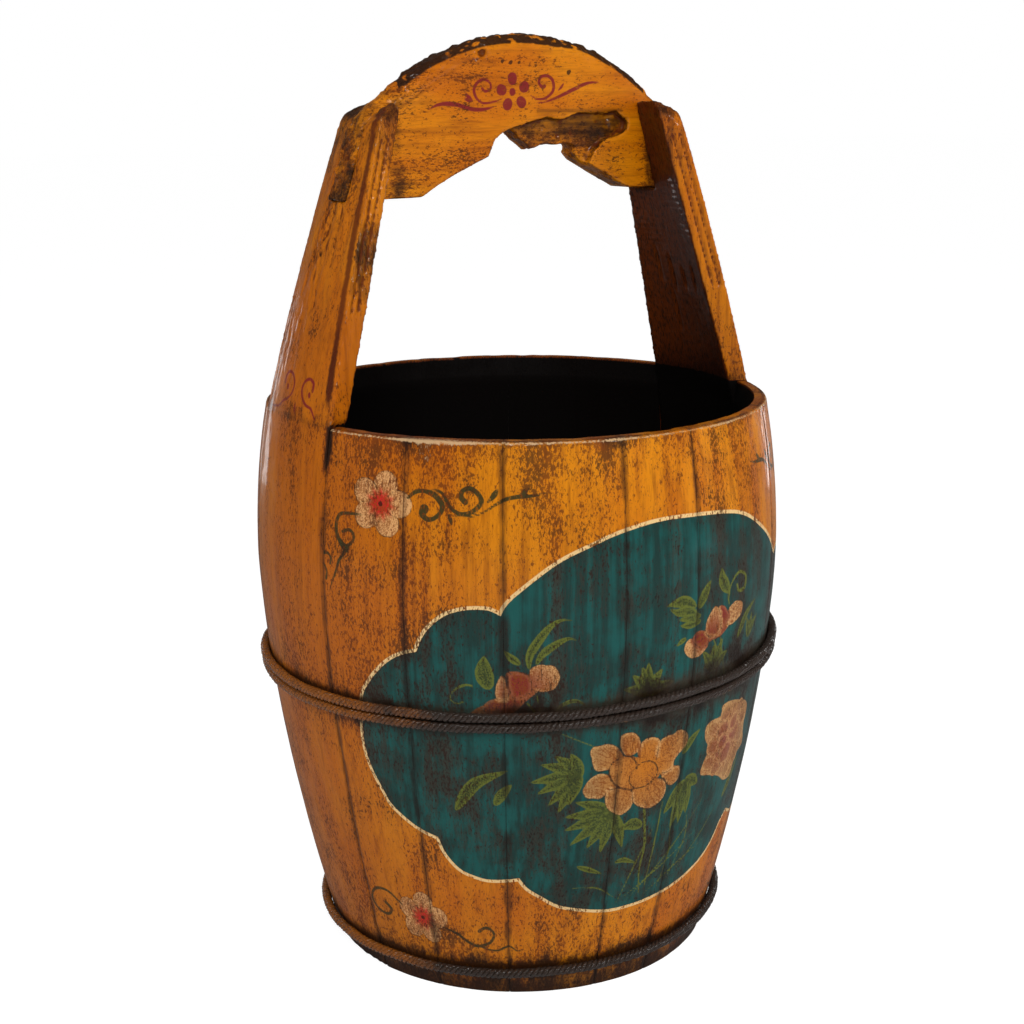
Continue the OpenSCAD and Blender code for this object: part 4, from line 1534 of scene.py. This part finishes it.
@dataclass
class Uprights:
    """The two handle staves with their carved arms."""

    barrel: Barrel
    finish: bpy.types.Material
    voxel: float = 0.0012
    edge_step: float = 4.0
    chops: Tuple[Place, ...] = (
        (-22, 404, 9), (-10, 402, 7), (2, 405, 12), (14, 410, 11), (6, 380, 13),
    )
    curls: Strokes = (
        (((-101.9, 341.3), (-98.5, 342), (-96.3, 343.1), (-93.9, 346.9), (-91.9, 348.9),
          (-90.2, 352.3), (-89.7, 357), (-90.9, 362.1), (-93.6, 363.4), (-95.1, 360.1),
          (-94.8, 356.8)), (0.8, 1.4, 1.8, 1.6, 2.0, 1.8, 2.4)),
        (((-93, 355.6), (-92.9, 354.6)), (2.8, 2.8)),
        (((-78.6, 341.5), (-79.3, 343.1), (-80.8, 346.9), (-83, 348.3), (-85, 352), (-85.7, 356.9),
          (-84.8, 360.8), (-83, 362.5), (-81.3, 360.3), (-81.3, 356.5)),
         (1.0, 1.6, 1.8, 1.8, 2.0, 1.8, 2.2)),
        (((-82.3, 354.4), (-82.2, 353.4)), (2.6, 2.6)),
        (((-87.7, 348.4), (-87.4, 345), (-87.1, 342)), (0.8, 2.2, 0.8)),
    )

    def build(self) -> None:
        """Models, wears and paints both handle staves."""
        for node, side in (("left_upright", -1), ("right_upright", 1)):
            piece = remade(node, self.voxel)
            self.wear(piece, side)
            self.paint(piece, side)
            take(piece)
            bpy.ops.object.shade_smooth()
            dress(piece, self.finish, node)

    def rotten(self, z: np.ndarray, n: np.ndarray) -> np.ndarray:
        """Where the left arm's front edge is rotten, from 0 to 1."""
        return hump(z - 425, 26, 4) * (n[:, 1] < -0.4)

    def wear(self, piece: bpy.types.Object, side: int) -> None:
        """Adds tool marks, gouges and weathering.

        Args:
            piece: The handle stave.
            side: 1 on the right, -1 on the left.
        """
        p, n = places(piece.data), directions(piece.data)
        y, z = p[:, 1] / MM, p[:, 2] / MM
        arm = ramp(z, self.barrel.rim_z + 4, 20)
        inner_face = arm * (-n[:, 0] * side > 0.6)
        move = 0.16 * roughness_at(p * (1, 1, 0.35), 0.011, 3) + 0.07 * roughness_at(p, 0.0035, 4)
        move += arm * 0.16 * roughness_at(p * (1, 1, 0.2), 0.003, 7)
        move += inner_face * 0.07 * np.sin(z / 0.55 + 2 * roughness_at(p, 0.02, 8))
        tips = ramp(z, 488, 14)
        move += tips * (0.5 * roughness_at(p, 0.004, 25) + 0.3 * roughness_at(p, 0.0018, 26))
        if side < 0:
            fan = hump(y - 5, 12) * ramp(z, 385, 30) * ramp(z, 478, -12) * (n[:, 0] < -0.5)
            move += fan * 1.5 * np.minimum(roughness_at(p * (1, 1, 0.06), 0.0026, 9), 0.25)
            crumbs = np.minimum(roughness_at(p * (1, 1, 0.35), 0.0028, 10), 0.1)
            move += self.rotten(z, n) * 0.5 * crumbs
        else:
            for cy, cz, length in self.chops:
                move -= inner_face * hump(y - cy, 1.3) * hump(z - cz, length, 4) * 1.3
        move_to(piece.data, p + n * (move * MM)[:, None])

    def from_edge(self, p: np.ndarray) -> np.ndarray:
        """How far each place lies behind the front edge at its height, in millimetres."""
        y, row = p[:, 1] / MM, (p[:, 2] / MM / self.edge_step).astype(int).clip(0)
        edge = np.full(row.max() + 1, FAR_MM)
        np.minimum.at(edge, row, y)
        return y - edge[row]

    def paint(self, piece: bpy.types.Object, side: int) -> None:
        """Writes the paint and the dirt to the handle stave.

        Args:
            piece: The handle stave.
            side: 1 on the right, -1 on the left.
        """
        barrel, p, n = self.barrel, places(piece.data), directions(piece.data)
        radius, z, angle = polar(p)
        across = turned(angle, FRONT)
        depth = (barrel.outer(z) - radius) / barrel.wall
        arm = z > barrel.rim_z + 1
        facing = np.clip(-n[:, 0] * side * 1.6 - 0.5, 0, 1)
        low = 0.3 * np.exp(-np.clip(z - barrel.rim_z, 0, None) / 35)
        soil = np.where(arm, 0.55 * np.exp(-(z - barrel.rim_z) / 14), barrel.soil(angle, z))
        furrow = arm * (n[:, 0] * side > 0.35) * hump(self.from_edge(p) - 4.5, 3.0)
        furrow *= ramp(z, barrel.rim_z, 20) if side < 0 else 0.5
        dirt = [soil, ramp(z, 492, 14) * 0.7, ramp(z, 440, 40) * 0.42]
        if side < 0:
            dirt.append(furrow * hump(z - barrel.rim_z - 28, 30, 4))
            dirt.append(self.rotten(z, n) * arm * 0.55)
        hollow = hollowness(piece.data)
        seam = 1 - barrel.joint_distance(angle, z) / SEAM_REACH_MM
        for name, values in (
            ("inside", np.where(arm, (0.5 + low) * facing, depth * 2.2 - 0.2)),
            ("grime_and_shade", np.max(dirt, axis=0) * (arm | (depth < 0.3))),
            ("seam", np.where(arm, 0, seam)),
            ("hollow", np.maximum(arm * ramp(hollow, 0, 0.00022), furrow)),
            ("worn", arm * np.clip(-hollow / 0.0005 - 0.15, 0, 0.62)),
            ("crowd", np.where(arm, 0.05, barrel.crowd(across, z))),
            ("tone", np.where(arm, 0.6, barrel.tone(across))),
        ):
            write_value(piece.data, name, values)
        canvas = Canvas(across * PER_DEGREE, z, depth < 0.3)
        for points, widths in self.curls:
            canvas.stroke("red", on_barrel(points, None if side < 0 else 0.0), widths)
        canvas.store(piece.data)


@dataclass
class GripBoard:
    """The arched board between the handle staves."""

    finish: bpy.types.Material
    voxel: float = 0.00105
    back: float = 5.0
    yaw: float = 3.2
    half: float = 9.5
    centre: Point = (6.8, 401.9)
    radius: float = 148.0
    heart: Point = (-4.8, 517.0)
    petals: Tuple[Point, ...] = (
        (-4.8, 524), (3.0, 519.7), (1.0, 511.6), (-8.0, 510.6), (-11.9, 518.1),
    )
    specks: Tuple[Place, ...] = (
        (-11.8, 534.2, 2.2), (-6, 533.6, 2.4), (-0.2, 533.6, 1.8), (35.7, 528.2, 3),
    )
    vines: Strokes = (
        (((-11.1, 513.7), (-16.9, 511.8), (-25.1, 510.9), (-29.9, 513.8), (-31.5, 518.4),
          (-29, 522.4), (-24.1, 524.1), (-20.1, 521.7), (-20.4, 518.4), (-24.2, 517.5),
          (-25.8, 519.1)), (0.6, 1.2, 1.4, 2.0, 1.8, 1.4, 1.8)),
        (((-62.6, 507.3), (-57, 509.8), (-50.7, 510.7), (-42.8, 510), (-34.8, 507.9),
          (-26.8, 507.2), (-18, 508.6)), (0.4, 1.8, 2.6, 2.2, 2.4, 2.2, 0.6)),
        (((-37.1, 516.2), (-34.8, 514), (-32.4, 512)), (1.0, 2.4, 0.8)),
        (((-38.3, 513.6), (-35.8, 512.6), (-33.2, 511.4)), (0.8, 2.0, 0.8)),
        (((8.1, 515), (13.1, 512.9), (19.1, 513.6), (24.2, 517.6), (24.2, 523), (20.8, 526),
          (15.7, 525.7), (14, 522.3), (16.5, 519.6), (18.2, 520.3)),
         (0.8, 1.4, 1.6, 2.2, 2.0, 1.6, 2.2)),
        (((11.4, 510.4), (19.9, 511.5), (30.2, 514.9), (40.7, 518.9), (49.4, 521.9),
          (58.3, 522.7)), (0.4, 1.2, 2.0, 2.4, 2.0, 0.6)),
        (((27.8, 517.6), (30, 519.4), (32, 521.8)), (0.6, 1.8, 0.8)),
    )

    def build(self) -> None:
        """Models, wears and paints the board."""
        piece = remade("grip_board", self.voxel)
        self.wear(piece)
        self.paint(piece)
        take(piece)
        bpy.ops.object.shade_smooth()
        dress(piece, self.finish, "grip_board")

    def local(self, rows: np.ndarray, home: float = 1.0) -> np.ndarray:
        """Turns places or directions into the board's own frame.

        Args:
            rows: One place in metres or one direction in each row.
            home: 1 for places, 0 for directions.

        Returns:
            Along the board, through it (the front first) and up.
        """
        c, s = math.cos(math.radians(self.yaw)), math.sin(math.radians(self.yaw))
        x, y = rows[:, 0], rows[:, 1] - self.back * MM * home
        return np.c_[x * c + y * s, y * c - x * s, rows[:, 2]]

    def rim_depth(self, x: np.ndarray, z: np.ndarray) -> np.ndarray:
        """How far below the arch's top edge each place lies, in millimetres."""
        return self.radius - np.hypot(x - self.centre[0], z - self.centre[1])

    def wear(self, piece: bpy.types.Object) -> None:
        """Roughens the worn top edge and the broken place.

        Args:
            piece: The board.
        """
        p, n = places(piece.data), directions(piece.data)
        x, y, z = (self.local(p) / MM).T
        front = self.local(n, 0.0)[:, 1] < -0.5
        depth = self.rim_depth(x, z)
        edge = np.exp(-np.clip(depth - 2, 0, None) / 3.5) * (np.abs(x - self.centre[0]) < 92)
        ends = ramp(np.abs(x), 96, 5)
        move = 0.1 * roughness_at(p * (0.35, 1, 1), 0.011, 13)
        rope = roughness_at(np.c_[x, y * 1.6 + depth, z * 0] * MM, 0.0042, 14)
        move += edge * (0.9 * rope + 0.45 * roughness_at(p, 0.0021, 15))
        move += ends * (0.9 * roughness_at(p, 0.0036, 12) + 0.4 * roughness_at(p, 0.0017, 11))
        broken = self.broken(x, y, z)
        move += broken * (0.9 * roughness_at(p, 0.006, 16) + 0.5 * roughness_at(p, 0.0026, 17))
        move += broken * hump(x - 62, 9) * hump(z - 494, 5) * 2.2
        dent = hump((x + 62) * 0.8 - (z - 519) * 1.2, 20)
        move -= front * dent * hump(z - 519 - (x + 62) * 0.55, 2.8)
        knot = np.hypot(x + 25.5, z - 540)
        move += front * (0.9 * hump(knot - 4.2, 1.5) - 0.8 * hump(knot, 2))
        move_to(piece.data, p + n * (move * MM)[:, None])

    def broken(self, x: np.ndarray, y: np.ndarray, z: np.ndarray) -> np.ndarray:
        """Where the broken place is, from 0 to 1."""
        inside = (y > 0.7 - self.half) & (y < self.half - 3) & (x > -8) & (x < 83)
        return (inside & (z < 506) & (z > 461)).astype(float)

    def paint(self, piece: bpy.types.Object) -> None:
        """Writes the flower, the vines, the dirt and a painted shadow to the board.

        Args:
            piece: The board.
        """
        p, n = places(piece.data), directions(piece.data)
        x, y, z = (self.local(p) / MM).T
        front = self.local(n, 0.0)[:, 1] < -0.4
        depth = self.rim_depth(x, z)
        arch = np.abs(x - self.centre[0]) < 86
        ragged = depth + 1.6 * roughness_at(p * (0.5, 1, 1), 0.012, 18) - (x - 7) * 0.012
        top = ramp(ragged, 5.2, -1.6) * arch * np.where(front, 1.0, 0.85)
        gold = np.clip(roughness_at(np.c_[x, depth * 2.5, y] * MM, 0.0034, 19) * 2 - 0.5, 0, 1)
        low_left = hump(x + 74, 16) * hump(z - 469, 9)
        sooty = hump(x + 84, 7) * 0.4 + low_left * 0.25 + ramp(np.abs(x), 90, 6) * 0.55
        hollow = hollowness(piece.data)
        broken = self.broken(x, y, z)
        # Painted shadow under the broken place's upper edge; the broken place is darker for its raw
        # wood and darker still towards its top as painted shade.
        shadow_under_break = front * np.exp(-np.abs(z - 506) / 2.5) * ((x > 12) & (x < 76)) * 0.6
        shaded = broken * (0.4 + 0.25 * ramp(z, 480, 14))
        for name, values in (
            ("burn_and_shadow", np.maximum(top * (1 - gold * 0.8), shadow_under_break)),
            ("grime_and_shade", np.maximum(sooty, shaded)),
            ("crowd", np.clip(0.1 - (z - 490) / 110, 0, 0.5)),
            ("tone", np.full(len(x), 0.12)),
            ("hollow", ramp(hollow, 0, 0.0003) * (top <= 0.3)),
            ("worn", np.clip(-hollow / 0.0005 - 0.3, 0, 0.5) * (top > 0.2)),
        ):
            write_value(piece.data, name, values)
        canvas = Canvas(x, z, front)
        for spot in self.petals:
            a = math.atan2(spot[1] - self.heart[1], spot[0] - self.heart[0])
            end = (spot[0] + 0.9 * math.cos(a), spot[1] + 0.9 * math.sin(a))
            canvas.stroke("red", [spot, end], (6.2, 6.6), soft=False)
        heart = [self.heart, (self.heart[0], self.heart[1] + 0.1)]
        canvas.stroke("red", heart, (4.4, 4.4), soft=False)
        for points, widths in self.vines:
            canvas.stroke("red", points, widths)
        for x, z, size in self.specks:
            canvas.stroke("ink", [(x, z), (x + 0.8, z + 0.6)], (size, size * 0.6), soft=False)
        canvas.store(piece.data)


def remade(node: str, voxel: float) -> bpy.types.Object:
    """A solid's copy with an even, fine mesh that can be worn and painted.

    Args:
        node: The solid.
        voxel: The size of a cell, in metres.

    Returns:
        The new piece.
    """
    source = bpy.data.objects[node]
    piece = bpy.data.objects.new(f"worn_{node}", source.data.copy())
    bpy.context.scene.collection.objects.link(piece)
    edit(piece, lambda: bpy.ops.mesh.remove_doubles(threshold=1e-6))
    modify(piece, "REMESH", mode="VOXEL", voxel_size=voxel, use_smooth_shade=True)
    modify(piece, "SMOOTH", factor=0.5, iterations=2)
    return piece


@dataclass
class Hoops:
    """The twisted wire hoops."""

    barrel: Barrel
    finish: bpy.types.Material
    strands: int = 3
    lay: float = 9.5
    strand_r: float = 1.42
    rings_per_lay: int = 9
    darkest: float = 290.0

    def build(self) -> None:
        """Models and paints the three hoops."""
        for number, node in enumerate(("middle_hoop_upper", "middle_hoop_lower", "base_hoop")):
            piece = self.model(node, number)
            self.paint(piece)
            bpy.ops.object.shade_smooth()
            dress(piece, self.finish, node)

    def strand(self, hoop: int, phase: float) -> np.ndarray:
        """The middle line of one wire.

        Args:
            hoop: Which hoop.
            phase: Where in the twist it starts, in degrees.

        Returns:
            The points of a closed helix, in metres.
        """
        b = self.barrel
        base = float(b.outer(b.hoops[hoop][0])) + b.hoop_r
        turns = round(2 * math.pi * base / self.lay)
        a = np.linspace(0, 2 * math.pi, turns * self.rings_per_lay, endpoint=False)
        z = b.hoop_z(hoop, np.degrees(a))
        twist = a * turns + math.radians(phase)
        swing = b.hoop_r - self.strand_r
        sag = 0.25 * np.sin(a * 7 + hoop) + 0.15 * np.sin(a * 17 + 2 * hoop)
        r = b.outer(z) + b.hoop_r + swing * np.cos(twist)
        h = z + swing * np.sin(twist) + sag
        return np.c_[r * np.cos(a), r * np.sin(a), h] * MM

    def model(self, node: str, hoop: int) -> bpy.types.Object:
        """Lays the wires round the barrel.

        Args:
            node: The solid that it stands for.
            hoop: Its number.

        Returns:
            The hoop.
        """
        curve = bpy.data.curves.new(f"fine_{node}", "CURVE")
        curve.dimensions = "3D"
        curve.bevel_depth = self.strand_r * MM
        curve.bevel_resolution = 1
        curve.twist_mode = "MINIMUM"
        for k in range(self.strands):
            points = self.strand(hoop, 360 * k / self.strands)
            spline = curve.splines.new("POLY")
            spline.points.add(len(points) - 1)
            spline.points.foreach_set("co", np.c_[points, np.ones(len(points))].ravel())
            size = 1 + 0.12 * roughness_at(points, 0.004, 21 + k + 5 * hoop)
            spline.points.foreach_set("radius", size)
            spline.use_cyclic_u = True
        piece = bpy.data.objects.new(f"fine_{node}", curve)
        bpy.context.scene.collection.objects.link(piece)
        take(piece)
        bpy.ops.object.convert(target="MESH")
        return bpy.context.object

    def paint(self, piece: bpy.types.Object) -> None:
        """Marks where the lacquer covers the wire.

        Args:
            piece: The hoop.
        """
        angle = polar(places(piece.data))[2]
        write_value(piece.data, "gilt", ramp(np.abs(turned(angle, self.darkest)), 50, 40) * 0.8)


@dataclass(frozen=True)
class Lamp:
    """A rectangular lamp that looks at the bucket."""

    name: str
    place: Place
    power: float
    wide: float
    high: float
    mirrored: bool = False

    def build(self, aim: Place) -> None:
        """Hangs the lamp, which is either only mirrored or only lights.

        Args:
            aim: Where it looks.
        """
        data = bpy.data.lights.new(self.name, "AREA")
        data.shape, data.energy = "RECTANGLE", self.power
        data.size, data.size_y = self.wide, self.high
        made = bpy.data.objects.new(self.name, data)
        bpy.context.scene.collection.objects.link(made)
        made.visible_diffuse, made.visible_glossy = not self.mirrored, self.mirrored
        made.location = self.place
        ahead = Vector(aim) - Vector(self.place)
        made.rotation_euler = ahead.to_track_quat("-Z", "Y").to_euler()


@dataclass
class Studio:
    """The camera, the lamps, the floor and the pale background."""

    aim: Place = (0.0, 0.0, 0.28)
    distance: float = 1.0
    height: float = 0.515
    pixels: float = 1653.0
    sensor: float = 36.0
    picture: int = 1024
    pitch: float = 14.14
    yaw: float = -0.17
    roll: float = -0.35
    azimuth: float = 31.0
    diffuse: float = 0.28
    glossy: float = 0.07
    lamps: Tuple[Lamp, ...] = (
        Lamp("key", (-0.5, -1.45, 1.35), 20.5, 0.9, 0.9),
        Lamp("right", (1.2, -0.9, 0.6), 9.0, 0.35, 1.3),
        Lamp("left", (-1.4, 0.2, 0.7), 5.0, 0.6, 1.0),
        Lamp("top", (0.2, 0.3, 1.8), 4.0, 1.2, 1.2),
        Lamp("glint", (-0.75, -1.2, 1.3), 3.6, 0.18, 0.18, True),
        Lamp("glint_right", (0.35, -1.5, 0.95), 2.2, 0.14, 0.14, True),
        Lamp("left_rim", (-0.19, 1.58, 0.16), 0.6, 0.14, 0.5, True),
        Lamp("right_rim", (1.49, 0.57, 0.2), 1.2, 0.14, 0.6, True),
    )

    def build(self) -> None:
        """Sets up everything around the object."""
        self.camera()
        for lamp in self.lamps:
            lamp.build(self.aim)
        self.floor()
        self.world()

    def camera(self) -> None:
        """Places the camera at the photograph's viewpoint."""
        pitch, yaw, roll = (math.radians(v) for v in (self.pitch, self.yaw, self.roll))
        level = Vector((math.sin(yaw), math.cos(yaw), 0))
        ahead = level * math.cos(pitch) - Vector((0, 0, math.sin(pitch)))
        right = Vector((math.cos(yaw), -math.sin(yaw), 0))
        up = right.cross(ahead)
        across = right * math.cos(roll) + up * math.sin(roll)
        upright = up * math.cos(roll) - right * math.sin(roll)
        look = Matrix((across, upright, -ahead)).transposed()
        orbit = Matrix.Rotation(-math.radians(self.azimuth), 3, "Z")
        data = bpy.data.cameras.new("view")
        data.sensor_width = self.sensor
        data.lens = self.pixels * self.sensor / self.picture
        eye = bpy.data.objects.new("view", data)
        bpy.context.scene.collection.objects.link(eye)
        where = orbit @ Vector((0, -self.distance, self.height))
        eye.matrix_world = Matrix.Translation(where) @ (orbit @ look).to_4x4()
        bpy.context.scene.camera = eye

    def floor(self) -> None:
        """Lays a pale floor that keeps the shadow."""
        deselect()
        bpy.ops.mesh.primitive_plane_add(size=30, location=(0, 0, 0))
        plane = bpy.context.object
        plane.name = "floor"
        b = Bench("pale_floor")
        camera = b.node("ShaderNodeLightPath", output="Is Camera Ray")
        mirrored = b.node("ShaderNodeLightPath", output="Is Glossy Ray")
        soft = b.node("ShaderNodeBsdfDiffuse", {}, {"Color": (0.86, 0.86, 0.86, 1)})
        dim = b.node("ShaderNodeBsdfDiffuse", {}, {"Color": (0.1, 0.1, 0.1, 1)})
        glow = b.node("ShaderNodeEmission", {}, {"Color": (1, 1, 1, 1), "Strength": 1.25})
        seen = b.node("ShaderNodeMixShader", {}, {0: camera * 0.75, 1: soft, 2: glow})
        shade = b.node("ShaderNodeMixShader", {}, {0: mirrored * 0.8, 1: seen, 2: dim})
        plane.data.materials.append(b.finish(shade))

    def world(self) -> None:
        """A white background and an even, soft light."""
        b = Bench("studio", world=True)
        level: Value = self.diffuse
        for ray, strength in (
            ("Is Glossy Ray", self.glossy),
            ("Is Transmission Ray", 1.0),
            ("Is Camera Ray", 1.0),
        ):
            seen = b.node("ShaderNodeLightPath", output=ray)
            level = b.node("ShaderNodeMix", {}, {0: seen, 2: level, 3: strength})
        shade = b.node("ShaderNodeBackground", {}, {"Color": (1, 1, 1, 1), "Strength": level})
        bpy.context.scene.world = b.finish(shade)


def main() -> None:
    """Builds the bucket's looks, piece by piece."""
    logging.basicConfig(level=logging.INFO, format="%(name)s: %(message)s")
    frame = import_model()
    bpy.context.scene.view_settings.view_transform = "Standard"
    Studio().build()

    barrel = Barrel()
    upright_wood = Lacquer("golden_lacquer").material()
    across_wood = Lacquer("golden_lacquer_across", Grain.ACROSS).material()
    Staves(barrel, upright_wood).build()
    Uprights(barrel, upright_wood).build()
    GripBoard(across_wood).build()
    Hoops(barrel, OldWire().material()).build()

    bottom = DullWood("dark_bottom", dye(58, 38, 26), dye(30, 19, 13)).material()
    pegs = DullWood("bare_pegs", dye(186, 146, 96), dye(136, 98, 58)).material()
    boards = [f"bottom_board_{part}" for part in ("front", "middle", "back")]
    for node, finish in (*((board, bottom) for board in boards), ("stave_pegs", pegs)):
        solid = frame["nodes"][node]
        if not solid.data.materials:
            solid.data.materials.append(finish)
        for place in solid.material_slots:
            place.material = finish
        log.info("%s: dressed as it is", node)


if __name__ == "__main__":
    main()
